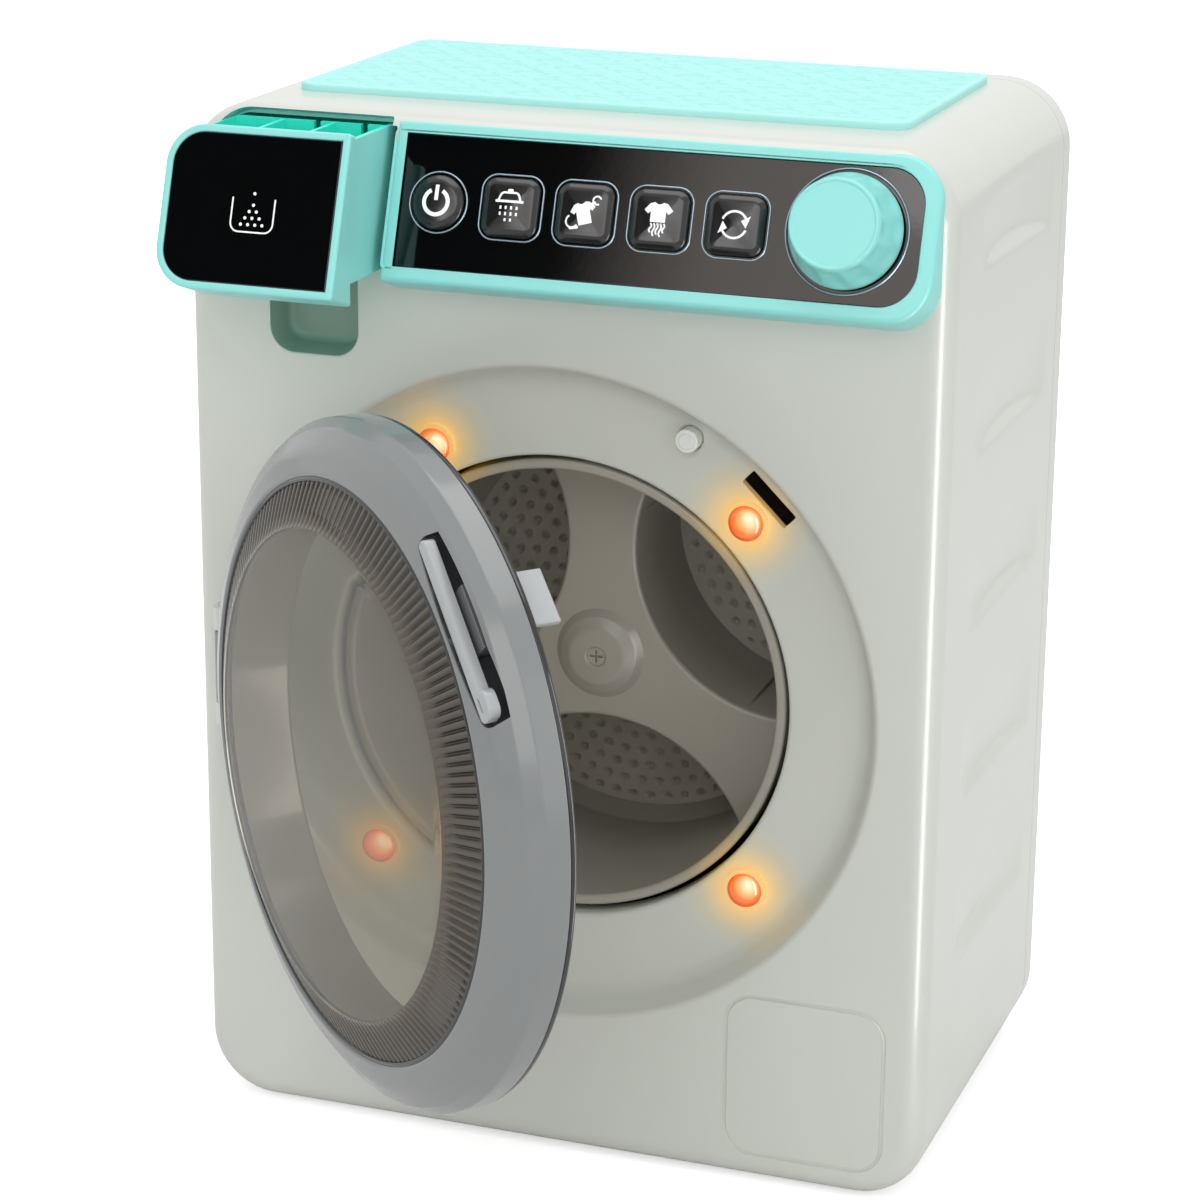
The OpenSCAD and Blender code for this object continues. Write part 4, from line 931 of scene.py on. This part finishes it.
shirt = mirrored([(0, 2.5), (0.6, 2.65), (1.1, 3.0), (2.2, 2.7), (3.6, 1.1), (2.6, 0.2), (1.9, 0.8), (1.9, -3.0)])
short = mirrored([(0, 3.4), (0.6, 3.55), (1.1, 3.9), (2.2, 3.6), (3.6, 2.0), (2.6, 1.1), (1.9, 1.7), (1.9, -0.9)])
power = [band(arc(0, -0.1, 3.1, 118, 422, 60), 1.0), band([(0, 4.1), (0, 2.0), (0, 0.3)], 0.95)]
shower = [band(soften([(-2.9, 1.5), (-2.1, 3.5), (2.1, 3.5), (2.9, 1.5)], (1.1, 1.1), steps=6), 0.5),
          band([(-3.6, 1.35), (0, 1.35), (3.6, 1.35)], 0.6), rounded(-0.7, 3.5, 0.7, 4.4, 0.3, steps=3)]
shower += [dash(x, y, 0.4, 0.8) for x in (-2.1, -0.7, 0.7, 2.1) for y in (0.2, -1.3)]
shower += [dash(x, -2.8, 0.3, 0.7) for x in (-0.7, 0.7)]
thumb, palm = (rounded(-half, -0.35, half, 0.35, 0.3, steps=4) for half in (0.9, 1.2))
held = [spun(shirt, 16, 0.2, -0.1, 0.9),
        band(arc(3.3, 3.2, 1.0, 20, 300, 24), 0.42), spun(thumb, 35, 2.2, 2.3),
        band(arc(-2.6, -2.2, 1.5, 120, 330, 24), 0.42), spun(palm, 10, -2.0, -3.7)]
steamed = [short] + [wave(x, -1.2, h) for x, h in ((-1.65, 2.2), (-0.83, 3.0), (0, 2.6), (0.83, 3.1), (1.65, 2.2))]
tip = np.radians([30, 30, -14])
head = np.array([1.9, 4.5, 3.0])[:, None] * np.stack([np.cos(tip), np.sin(tip)], -1)
cycle = [spun(loop, a) for a in (0, 180) for loop in (band(arc(0, 0, 3.2, 28, 158, 34), 0.55), head)]
for i, (name, loops) in enumerate(zip(NAMES, (power, shower, held, steamed, cycle))):
    top_of_key = lambda x, v, i=i: KEY_TOP + rise(x - KEYS[i], v - ROW_V, i)
    piece(name + "_sign", name, LIT_INK, printed([loop + [KEYS[i], ROW_V] for loop in loops], top_of_key, on_panel))

# %% [markdown]
# ## The knob
# A tapered knob with shallow finger flats round its skirt and a slightly dished front inside a soft rim. The flats
# are a wave in the radius that fades out at both ends of the skirt.

# %% Knob
STEM_R, STEM_END, KNOB_LOW, KNOB_DISH = 3.0, -9.0, 0.3, 11.75
FLATS, FLAT_DEEP = 12, 0.7
rows = soften([(13.9, KNOB_LOW), (13.8, 1.4), (11.1, 11.1), (10.7, 11.95), (10.2, 11.95), (9.9, KNOB_DISH),
               (0.3, KNOB_DISH)], (0.4, 0.5, 0.35, 0.2, 0.2), steps=5, hold=0.2)
# the long straight stretch gets rows in between, so that the flats can bend it
filled = [np.linspace(p, q, 12)[:-1] if q[1] - p[1] > 2 else [p] for p, q in zip(rows[:-1], rows[1:])]
rows = np.vstack([[(STEM_R, STEM_END), (STEM_R, KNOB_LOW)], *filled, rows[-1:]])
t = np.linspace(0, 2 * np.pi, 240, endpoint=False)
r, h = rows[:, :1], rows[:, 1:]
skirt = np.clip((h - 1.2) / 2.5, 0, 1) * np.clip((11.0 - h) / 2.5, 0, 1) * (r > STEM_R + 2)
r = r - FLAT_DEEP * skirt * np.abs(np.cos(FLATS / 2 * t)) ** 1.5
P = np.stack([KNOB[0] + r * np.cos(t), KNOB[1] + r * np.sin(t), np.repeat(h, len(t), 1)], -1)
piece("knob_grip", "dial", AQUA,
      [skin(on_panel(P)), flat([P[0, :, :2]], STEM_END, on_panel), flat([P[-1, :, :2]], KNOB_DISH, on_panel)],
      ("knob",))

# %% [markdown]
# ## The drawer
# The drawer front has a gloss black field in a turquoise frame, and a deep skirt behind it that closes the gap to
# the cabinet. It is drawn shut in the panel's plane and pulled out with the rest of the drawer.

# %% Drawer front
BACK_N, FIELD_N, GLOSS_N, SKIRT_N = -3.2, -1.6, -0.2, -23.0
GAP, SIGN_AT = 0.3, (-66.8, 19.2)


def drawer(s):
    return rounded(-91.5, 0, -43.5, PANEL_V, (10, 0.9, 0.9, 10), s, steps=12)


frame_rows = soften([(1.95, FIELD_N), (1.95, 0), (0, 0), (0, BACK_N)], (0.5, 0.75), steps=6, hold=0.08)
skirt_rows = [(0.3, BACK_N + 0.3), (0.01, BACK_N), (0.01, SKIRT_N), (0.95, SKIRT_N), (0.95, BACK_N + 0.3)]
# the cabinet, 0.2 mm larger all round and pulled out with the drawer, cuts the skirt's rear edge
shut_y, half = FRONT - GAP - DRAWER_OUT, WIDTH / 2 + 0.2
behind = plug(lambda s: rounded(-half, -0.2, half, HEIGHT + 0.2, CORNER + 0.2, s, steps=10),
              soften([(10.0, shut_y), (0, shut_y), (0, 0)], (10.2,), steps=12, hold=0.5))
skirt_blank = mesh_of("skirt_blank", [carried(drawer, skirt_rows + skirt_rows[:1], on_drawer)])
skirt_mesh = carve("skirt", skirt_blank, cuts=[behind])
even_normals(piece("drawer_face", "drawer", AQUA, plug(drawer, frame_rows, on_drawer) + [patch_of(skirt_mesh)],
                   ("drawer_front",)))
gloss_rows = soften([(2.0, FIELD_N), (2.0, GLOSS_N), (2.4, GLOSS_N)], (0.2,), steps=3, hold=0.05)
even_normals(piece("drawer_gloss", "drawer", GLOSS, plug(drawer, gloss_rows, on_drawer),
                   ("drawer_insert",)))
cup_line = soften([(-5.6, 3.4), (-5.6, -4.4), (5.6, -4.4), (5.6, 3.4)], (2.2, 2.2), steps=7, hold=0.3)
powder = [band(np.vstack([[(-5.6, 3.9)], cup_line, [(5.6, 3.9)]]), 0.38)]
powder += [ring(0.4, ((k - (n - 1) / 2) * 1.9, v), 14)
           for n, v in ((1, 5.0), (1, 2.2), (2, 0.6), (3, -1.0), (4, -2.6)) for k in range(n)]
piece("drawer_sign", "drawer", LIT_INK,
      printed([loop + SIGN_AT for loop in powder], lambda x, v: np.full(np.shape(x), GLOSS_N), on_drawer, 0.04))

# %% [markdown]
# ## Lamps and sensor
# The lamps are round domes with a flat collar behind the wall, which keeps them in. The sensor is a round peg with
# the same kind of collar.

# %% Lamps and sensor
FLOOR_BACK, DOME_R, DOME_HIGH, TIP_Y = RECESS_Y + WALL, 4.7, 3.1, -57.35
dome_rows = [(5.5, FLOOR_BACK + 1), (5.5, FLOOR_BACK), (DOME_R + 0.05, FLOOR_BACK), (DOME_R + 0.05, RECESS_Y - 0.2)]
turn = np.linspace(0.12, np.pi / 2 - 0.02, 14)
dome_rows += [(DOME_R * np.cos(q), RECESS_Y - 0.3 - DOME_HIGH * np.sin(q)) for q in turn]
piece("lamp_domes", "housing", LAMP, [q for c in LAMPS for q in capped(dome_rows, 64, c)],
      ("led_lenses",))
rows = soften([(1.2, -48.0), (1.2, -49.7), (4.2, -49.7), (4.2, -50.7), (3, -50.7), (3.0, TIP_Y + 0.35),
               (2.0, TIP_Y + 0.35), (1.8, TIP_Y), (0.05, TIP_Y)],
              (0.1, 0.1, 0.2, 0.2, 0.6, 0.15, 0.2), steps=6, hold=0.08)
piece("sensor_peg", "plunger", PEG, capped(rows, 48, SENSOR), ("door_sensor",))

# %% [markdown]
# ## The door
# Everything on the door is turned about the porthole's axis as if the door were shut, and then swung open about
# the hinge. The grey ring has a sloping face, a crest and a side band.

# %% Door ring and handle
BAND_Y, LIP_BACK = FLANGE_Y - 2.5, LIP_Y + 4.6
FACE = [(LIP_R, LIP_Y), (LIP_R + 6.2, LIP_Y + 2.1), (CREST_R - 0.2, CREST_Y - 1.1)]    # lip, belly and crest
ring_rows = soften([(LIP_R + 1.8, LIP_BACK), (LIP_R, LIP_BACK), *FACE, (RING_R, CREST_Y + 2.4), (RING_R, BAND_Y),
                    (FLANGE_R - 0.4, BAND_Y), (FLANGE_R - 0.4, CREST_Y + 3), (CREST_R - 1.2, CREST_Y + 1.2),
                    (LIP_R + 1.8, LIP_Y + 3.2), (LIP_R + 1.8, LIP_BACK)],
                   (0.2, 0.8, 10.0, 2.6, 1.6, 0.3, 0.3, 1, 1, 0.3), steps=9, hold=0.3)
WELL_R0, WELL_HALF, WELL_REACH, WELL_MORE, WELL_WALL, WELL_END = 72.6, 24.0, 81.3, 0.9, 1.0, -61.3


def well(s):
    """A pill whose outer side follows the ring's crest and reaches a little further at its lower end."""
    p = rounded(WELL_R0, -WELL_HALF, 82.6, WELL_HALF, (2.4, 3.6, 2.4, 2.4), s, steps=8, side=24)
    reach = WELL_REACH + WELL_MORE * np.clip((-p[:, 1] - 8) / 10, 0, 1) - s
    return p * np.minimum(1, reach / np.hypot(*p.T))[:, None]


def face_y(r):
    """Height of the ring's face at a radius."""
    return np.interp(r, *zip(*FACE))


well_cut = plug(well, [(0, LIP_Y - 6), (0, FLANGE_Y - 1.4)], at_handle)
ring_part = patch_of(carve("ring", mesh_of("ring_blank", [turned(ring_rows, 300)]), cuts=[well_cut]))


def well_wall():
    """Wall round the well: from just under the sloping face down to its floor line, and back up outside."""
    inner, outer = well(0.0), well(-WELL_WALL)
    heights = ((inner, face_y(np.hypot(*inner.T)) + 0.35), (inner, np.full(len(inner), WELL_END)),
               (outer, np.full(len(outer), WELL_END)), (outer, face_y(np.hypot(*outer.T)) + 1.9))
    rows = [np.column_stack(pair) for pair in heights]
    return skin(at_handle(np.stack(rows + rows[:1])))


# hinge knuckle round the pin, and the arm that joins it to the ring
KNUCKLE_R, KNUCKLE_Z0, KNUCKLE_Z1, AXIS_R = 2.4, 115.2, 134.0, 0.06
kt = np.linspace(0, 2 * np.pi, 32, endpoint=False)
kz = soften([(AXIS_R, KNUCKLE_Z0), (KNUCKLE_R, KNUCKLE_Z0), (KNUCKLE_R, KNUCKLE_Z1), (AXIS_R, KNUCKLE_Z1)],
            (0.4, 0.4), steps=4, hold=0.2)
K = np.stack([HINGE[0] + kz[:, :1] * np.cos(kt), HINGE[1] + kz[:, :1] * np.sin(kt), np.repeat(kz[:, 1:], 32, 1)], -1)
arm = plug(lambda s: np.array([(-90, -67.4), (-82.5, -67.4), (-82.5, -63.9), (-90, -64.5)]),
           [(0, KNUCKLE_Z0 + 0.2), (0, KNUCKLE_Z1 - 0.2)], lambda p: p)
even_normals(piece("door_ring_body", "door", GREY, opened([ring_part, skin(K)] + arm), ("door_ring",)))
# painted shade: the well's wall takes the darker grey
piece("handle_well", "door", WELL_SHADE, opened([well_wall()]))


def lump(box, radii, rows, edge=1.3, steps=8):
    """A closed block beside the handle: a box's rounded outline, and a profile with one rounded edge."""
    return plug(lambda s: rounded(*box, radii, s, steps=steps), soften(rows, (edge,), steps=6, hold=0.2), at_handle)


BAR_Y, TOP, END = LIP_Y + 1.3, 22.9, -22.8
handle = lump((73.1, END, 76.4, TOP), (1.5, 1.6, 1.6, 1.5), [(0, BAR_Y + 3.0), (0, BAR_Y), (1.35, BAR_Y)])
block = lump((73.4, -6.56, 78.45, 9.44), 0.3, [(0, -63.0), (0, LIP_Y + 5.6), (0.5, LIP_Y + 5.6)], 0.3, 2)
even_normals(piece("handle_block", "handle", BLOCK, opened(block)))
handle += lump((73.2, END + 0.2, 78.1, END + 7.6), (2.6, 2.6, 2.6, 0.4),
               [(0, LIP_BACK), (0, BAR_Y + 0.3), (1.9, BAR_Y)])
# the latch's hook, and the bridge that joins it to the bar
handle += plug(lambda s: rounded(76.6, -7.0, 78.2, 7.0, 0.3, s, steps=2),
               [(0, -64.2), (0.0, -49.7), (0.35, -49.3)], at_latch)
handle += plug(lambda s: rounded(73.6, -6.4, 78.2, 6.4, 0.3, s, steps=2), [(0, -63.1), (0, -61.95)], at_latch)
even_normals(piece("handle_bar", "handle", HANDLE, opened(handle), ("latch_handle",)))

# %% [markdown]
# ### The smoked window
# The window is a shallow bowl: a nearly flat pane and a sloping band whose many moulded ribs hide the edge of the
# liner. Between two ribs the band's face sinks in a narrow rounded groove.

# %% Window and liner
PANE_Y, PANE_R, PANE_THICK, BAND_R, BAND_THICK = LIP_Y - 4, 59.6, 1.6, 71.1, 1.8
TUBE_R0, TUBE_R1, TUBE_Y, SHEET_R, SMOOTH = 64.5, 66.1, LIP_Y + 1.6, 68.8, 220
RIB_COUNT, PER_RIB, GROOVE_DEEP = 172, 8, 0.75
pane = [(0.2, -1.2), (12, -1.17), (24, -1.05), (36, -0.85), (48, -0.55), (56, -0.25), (59.0, -0.1), (PANE_R, 0.0)]
pane = [(r, PANE_Y + y) for r, y in pane] + [(r, PANE_Y + y + PANE_THICK) for r, y in pane[::-1]]
piece("window_pane", "door", PANE, opened(capped(pane, SMOOTH)), ("door_window",))
t = np.linspace(0, 2 * np.pi, RIB_COUNT * PER_RIB, endpoint=False)
from_groove = np.abs(np.mod(np.arange(len(t)), PER_RIB) - PER_RIB / 2 + 0.5) - 0.5
groove = np.exp(-(from_groove / 1.25) ** 2)
rr = np.array([PANE_R, 60.4, 61.2, 63.5, 66.0, 68.2, 69.6, 70.5, BAND_R])
yy = PANE_Y + (rr - PANE_R) * (LIP_Y + 1.2 - PANE_Y) / (BAND_R - PANE_R)
tall = np.clip((rr - 60.2) / 1.2, 0, 1) * np.clip(70.6 - rr, 0, 1)
Y = yy[:, None] + GROOVE_DEEP * tall[:, None] * groove
top = np.stack([PORT[0] + rr[:, None] * np.cos(t), Y, PORT[1] + rr[:, None] * np.sin(t)], -1)
under = top[::-1].copy()
under[..., 1] = (yy[::-1] + BAND_THICK)[:, None]
window = piece("window_ribs", "door", RIBS, opened([skin(np.concatenate([top, under, top[:1]]))]),
               sharp=40)
# each point's place round the porthole, with the door's turn undone, says how far it lies in a groove, which sets
# the painted shade of the grooves
p = patch_of(window.data)[0] - [*HINGE, 0]
x, z = HINGE[0] + np.cos(OPEN) * p[:, 0] - np.sin(OPEN) * p[:, 1] - PORT[0], p[:, 2] - PORT[1]
groove_shade = (0.5 - 0.5 * np.cos(RIB_COUNT * np.arctan2(z, x))) * np.clip((np.hypot(z, x) - 61.0) / 3.0, 0, 1)
window.data.attributes.new("groove", "FLOAT", "POINT").data.foreach_set("value", groove_shade.astype(np.float32))
# a dark seal round the lip, which also stands for the shade in the gap between pane and lip: partly painted shade
seal_and_gap_shade = soften([(71.35, LIP_Y + 3.2), (71.35, LIP_Y + 0.7), (70.4, LIP_Y + 0.3), (69.9, LIP_Y + 1.0),
               (69.9, LIP_Y + 3.2)], (0.2, 0.3, 0.3), steps=3, hold=0.1)
piece("window_seal", "door", FLANGE, opened([turned(np.vstack([seal_and_gap_shade, seal_and_gap_shade[:1]]), SMOOTH)]))
tube_rows = soften([(TUBE_R0, TUBE_Y), (TUBE_R1, TUBE_Y), (TUBE_R1, FLANGE_Y - 2.4), (67.5, FLANGE_Y - 1),
                    (69.0, FLANGE_Y - 1), (69.0, FLANGE_Y), (TUBE_R0, FLANGE_Y), (TUBE_R0, TUBE_Y)],
                   (0.4, 1.5, 0.8, 0.1, 0.1, 0.8), steps=5, hold=0.3)
# painted light: the tube is lighter than the flange of the same smoked moulding
piece("liner_tube", "door", LINER_LIT, opened([turned(tube_rows, SMOOTH)]), ("door_liner",))
flange_rows = soften([(SHEET_R, FLANGE_Y - 0.98), (RING_R - 1.8, FLANGE_Y - 1.2), (RING_R - 1.8, BAND_Y + 0.05),
                      (RING_R - 0.1, BAND_Y + 0.05), (RING_R - 0.1, FLANGE_Y - 1.1), (FLANGE_R, FLANGE_Y - 0.02),
                      (SHEET_R, FLANGE_Y - 0.02), (SHEET_R, FLANGE_Y - 0.98)],
                     (0.3, 0.1, 0.3, 0.9, 0.6, 0.1), steps=4, hold=0.2)
hook_slot = plug(lambda s: rounded(76.1, -7.0, 80.6, 7.0, 0.4, s, steps=2), [(0, -63.0), (0, -56.0)], at_latch)
piece("liner_flange", "door", FLANGE, opened([turned(flange_rows, 260)]),
      cuts=[opened(hook_slot)])

# %% [markdown]
# ## The drum
# The drum is turned, but its floor isn't: three arms run from the hub to the wall and leave three pockets between
# them. The arms' flat faces are filled between loops, each pocket's wall is a profile carried along its arc, and
# each pocket's floor is a fine lens-shaped grid with a dimple at every hole of the pattern.

# %% Drum
DRUM_R, DRUM_IN_R, FLOOR_R, HUB_R = 60.0, 58.0, 54.5, 12.2
POCKET, ARM_R, POCKET_R, LIMIT = 60.0, 47.5, 42.5, 58.6    # a pocket's centre, its arcs, and how far out they run
POCKET_DIRS = np.radians([30, 150, 270])
DIMPLE_R, DIMPLE_DEEP, ROW_STEP, ALONG_STEP = 1.1, 1.2, 4.3, 5.0
GRID_U, GRID_V = 190, 92
drum_rows = soften([(DRUM_R, DRUM_Y1), (DRUM_R, DRUM_Y0), (57.3, DRUM_Y0), (57.3, DRUM_Y0 + 3),
                    (DRUM_IN_R, DRUM_Y0 + 3.3), (DRUM_IN_R, FLOOR_Y - 5), (FLOOR_R, FLOOR_Y - 0.6),
                    (FLOOR_R, FLOOR_Y)],
                   (0.8, 1.1, 0.6, 0.3, 2.0, 0.6), steps=6, hold=0.3)
drum = [turned(drum_rows), turned([(DRUM_R, DRUM_Y1), (0.2, DRUM_Y1)]), flat([ring(0.2, PORT, 256)], DRUM_Y1)]


def across(radius):
    """Half angle, seen from a pocket's centre, of the arc of that radius that lies within the limit."""
    return np.arccos(np.clip((POCKET ** 2 + radius ** 2 - LIMIT ** 2) / (2 * POCKET * radius), -1, 1))


def local(d, along, aside, y):
    """(towards the pocket, across it, y) to (x, y, z)."""
    c, s = np.cos(d), np.sin(d)
    return np.stack([PORT[0] + along * c - aside * s, y, PORT[1] + along * s + aside * c], -1)


def dimples(rho, phi):
    """Depth of the dimples at (radius, angle) about the drum's axis: rows of them, every other row shifted."""
    depth = np.zeros_like(rho)
    for k, radius in enumerate(np.arange(22.0, 52.5, ROW_STEP)):
        step = ALONG_STEP / radius
        cell = (phi - (k % 2) * step / 2) / step
        q = np.hypot((cell - np.round(cell)) * step * radius, rho - radius)
        depth += DIMPLE_DEEP * np.clip(1 - (q / DIMPLE_R) ** 2, 0, 1) ** 0.6
    return depth


arm_wall = soften([(ARM_R, ARM_Y), (POCKET_R, ARM_Y), (POCKET_R - 0.6, FLOOR_Y)], (1.3,), steps=9, hold=0.4)
u = np.linspace(-1, 1, 120)
T = 37.3 * np.sin(np.linspace(-np.pi / 2, np.pi / 2, GRID_U) * 0.999)
inner_edge = POCKET - np.sqrt((POCKET_R - 0.6) ** 2 - T ** 2)
outer_edge = np.maximum(np.sqrt((FLOOR_R + 0.1) ** 2 - T ** 2), inner_edge)
A = inner_edge + (outer_edge - inner_edge) * np.linspace(0, 1, GRID_V)[:, None]
B = np.repeat(T[None], GRID_V, 0)
safe = (A - inner_edge > 2.2) & (outer_edge - A > 2.0) & (np.abs(B) < 34)
floor_y = FLOOR_Y + np.where(safe, dimples(np.hypot(A, B), np.arctan2(B, A)), 0)
corner_turn = across(ARM_R)
arms = []
for d, following in zip(POCKET_DIRS, np.roll(POCKET_DIRS, -1)):
    wall = []
    for r, y in arm_wall:
        a = across(r) * u
        wall.append(local(d, POCKET - r * np.cos(a), r * np.sin(a), np.full(len(u), y)))
    drum += [skin(np.stack(wall), False), skin(local(d, A, B, floor_y), False)]
    a = corner_turn * u
    edge = local(d, POCKET - ARM_R * np.cos(a), ARM_R * np.sin(a), 0 * a)[:, [0, 2]]
    last = np.arctan2(*(edge[-1] - PORT)[::-1])
    gap = (following - d) % (2 * np.pi) - 2 * ((last - d) % (2 * np.pi))
    t = last + np.linspace(0, gap, 24)[1:-1]
    arms += [edge, PORT + LIMIT * np.stack([np.cos(t), np.sin(t)], -1)]
drum.append(flat([np.concatenate(arms), ring(HUB_R, PORT, 96)], ARM_Y))
hub = soften([(HUB_R, ARM_Y), (10.4, ARM_Y - 1.6), (7.4, ARM_Y - 3.5), (2.9, ARM_Y - 3.98), (2.4, ARM_Y - 3.2),
              (2.4, ARM_Y - 1.9), (0.2, ARM_Y - 1.9)], (3, 4, 0.5, 0.2, 0.2), steps=7, hold=0.15)
drum += [turned(hub, 96), flat([ring(0.2, PORT, 96)], ARM_Y - 1.9)]
even_normals(piece("drum_basket", "tub", DRUM, drum, ("drum",), sharp=40))

# %% [markdown]
# ## The solids that stay
# Screws, springs, gears, the motor and the boards have the right shape already, so each keeps its solid and gets a
# finish with the same fine grain and haze as the rest.

# %% Finishes for the solids
finish = {"steel": STEEL, "brass": BRASS, "board_green": BOARD, "dark_plastic": DARK, "natural_plastic": NATURAL,
          "cell_sleeve": SLEEVE, "aqua_trim": AQUA, "body_shell": SHELL, "door_grey": GREY, "white_plastic": PEG,
          "black_panel": GLOSS}
slot_of = {s["node"]: s["material_slot"] for s in frame["record"]["subparts"]}
special = {"drawer_tray": TRAY, "drum_hub_screw": DRUM}
for name, ob in frame["nodes"].items():
    if slot_of.get(name) in finish or name in special:
        look = special.get(name) or finish[slot_of[name]]
        for k in range(len(ob.material_slots)):
            ob.material_slots[k].material = look
        if not ob.material_slots:
            ob.data.materials.append(look)

# %% [markdown]
# ## Studio
# A pale floor that fades to white away from the toy, three soft lamps, and cards that only reflections see.

# %% Floor, lamps and cards
FLOOR_SIDE, FLOOR_Z, AIM = 6.0, -0.0005, (0, 0, 0.14)


def sheet(name, corners, material):
    """A rectangle with a material."""
    me = bpy.data.meshes.new(name)
    me.from_pydata(corners, [], [(0, 1, 2, 3)])
    me.materials.append(material)
    return placed(name, me)


def stage_material():
    m, t, b = bare("studio_floor")
    b.inputs["Base Color"].default_value = grey(0.82)
    b.inputs["Roughness"].default_value = 0.9
    seen = node(t, "LightPath").outputs["Is Camera Ray"]
    blotch = node(t, "TexNoise", in_2=3.0)
    far = node(t, "VectorMath", operation="LENGTH")
    t.links.new(place_of(t), far.inputs[0])
    away = node(t, "MapRange", in_1=0.35, in_2=1.1, in_3=0.5, in_4=1.0)
    t.links.new(far.outputs["Value"], away.inputs[0])
    level = maths(t, "ADD", away.outputs[0], maths(t, "MULTIPLY", blotch.outputs[0], 0.02))
    t.links.new(maths(t, "MULTIPLY", seen, level), b.inputs["Emission Strength"])
    b.inputs["Emission Color"].default_value = grey(1.0)
    return m


floor = sheet("floor", [(x * FLOOR_SIDE, y * FLOOR_SIDE, FLOOR_Z) for x, y in ((-1, -1), (1, -1), (1, 1), (-1, 1))],
              stage_material())


def lamp(name, where, size, power):
    """A square lamp that looks at the toy."""
    d = bpy.data.lights.new(name, "AREA")
    d.shape, d.size, d.energy = "SQUARE", size, power
    o = placed(name, d)
    o.location = where
    o.rotation_euler = (Vector(AIM) - Vector(where)).to_track_quat("-Z", "Y").to_euler()


lamp("front", (0.15, -1.35, 0.8), 0.9, 4.2)
lamp("right", (1.7, -0.5, 0.6), 1.4, 3)
lamp("top", (0.1, 0.1, 1.9), 1.6, 15)


def card(name, start, end, low, high, stops, level):
    """An upright card that only reflections see: its light changes along the X axis as the stops say."""
    m, t, _ = bare(name)
    x0, x1 = start[0], end[0]
    glow = t.nodes.new("ShaderNodeEmission")
    stops = [((x - x0) / (x1 - x0), (*colour, 1)) for x, colour in stops]
    t.links.new(ramp(t, axis_of(t, 0, x0, x1), stops), glow.inputs["Color"])
    glow.inputs["Strength"].default_value = level
    t.links.new(glow.outputs[0], t.nodes["Material Output"].inputs["Surface"])
    o = sheet(name, [(*start, low), (*end, low), (*end, high), (*start, high)], m)
    o.visible_camera = o.visible_diffuse = o.visible_transmission = o.visible_shadow = False


DIM, FULL = (0.2, 0.2, 0.2), (1, 1, 1)
card("flag", (-1.25, -1.35), (-0.15, -1.35), 0.5, 1.3,
     [(-1.25, (0, 0, 0)), (-0.51, (0, 0, 0)), (-0.41, (0.75, 0.68, 0.62)), (-0.15, (0.95, 0.9, 0.86))], 2.4)
card("strip", (-0.52, -1.33), (-0.3, -1.33), 0.56, 0.78,
     [(-0.52, DIM), (-0.46, FULL), (-0.36, FULL), (-0.3, DIM)], 5.0)
card("edge", (0.165, -0.148), (0.191, -0.122), 0.0, 0.25,
     [(0.165, (0.6, 0.6, 0.6)), (0.178, FULL), (0.191, (0.6, 0.6, 0.6))], 12.0)

# %% [markdown]
# The sky is a plain grey that lights the toy, and white where the camera, a reflection or the smoked window sees it.

# %% Sky
SKY_LIGHT, SKY_SEEN = 0.74, 1.0
w = bpy.data.worlds.new("studio")
bpy.context.scene.world = w
w.use_nodes = True
t = w.node_tree
bg = t.nodes["Background"]
path = node(t, "LightPath")
seen = maths(t, "MAXIMUM", path.outputs["Is Camera Ray"],
             maths(t, "MAXIMUM", path.outputs["Is Transmission Ray"], path.outputs["Is Glossy Ray"]))
level = node(t, "Mix", data_type="FLOAT", in_2=SKY_LIGHT, in_3=SKY_SEEN)
t.links.new(seen, level.inputs[0])
t.links.new(level.outputs[0], bg.inputs["Strength"])
bg.inputs["Color"].default_value = grey(1.0)

# %% Camera
EYE, TARGET, ROLL = Vector((0.2956, -0.8489, 0.4148)), Vector((-0.00820, -0.00552, 0.13369)), np.radians(0.48)
cam = bpy.data.cameras.new("camera")
cam.lens, cam.sensor_width = 105.09, 36.0
cam.clip_start, cam.clip_end = 0.05, 20
cam_ob = placed("camera", cam)
ahead = (TARGET - EYE).normalized()
right = ahead.cross(Vector((0, 0, 1))).normalized()
up = right.cross(ahead)
across_x, across_y = right * np.cos(ROLL) + up * np.sin(ROLL), up * np.cos(ROLL) - right * np.sin(ROLL)
m = Matrix((across_x, across_y, -ahead)).transposed().to_4x4()
m.translation = EYE
cam_ob.matrix_world = m
bpy.context.scene.camera = cam_ob
bpy.context.scene.view_settings.view_transform = "Standard"
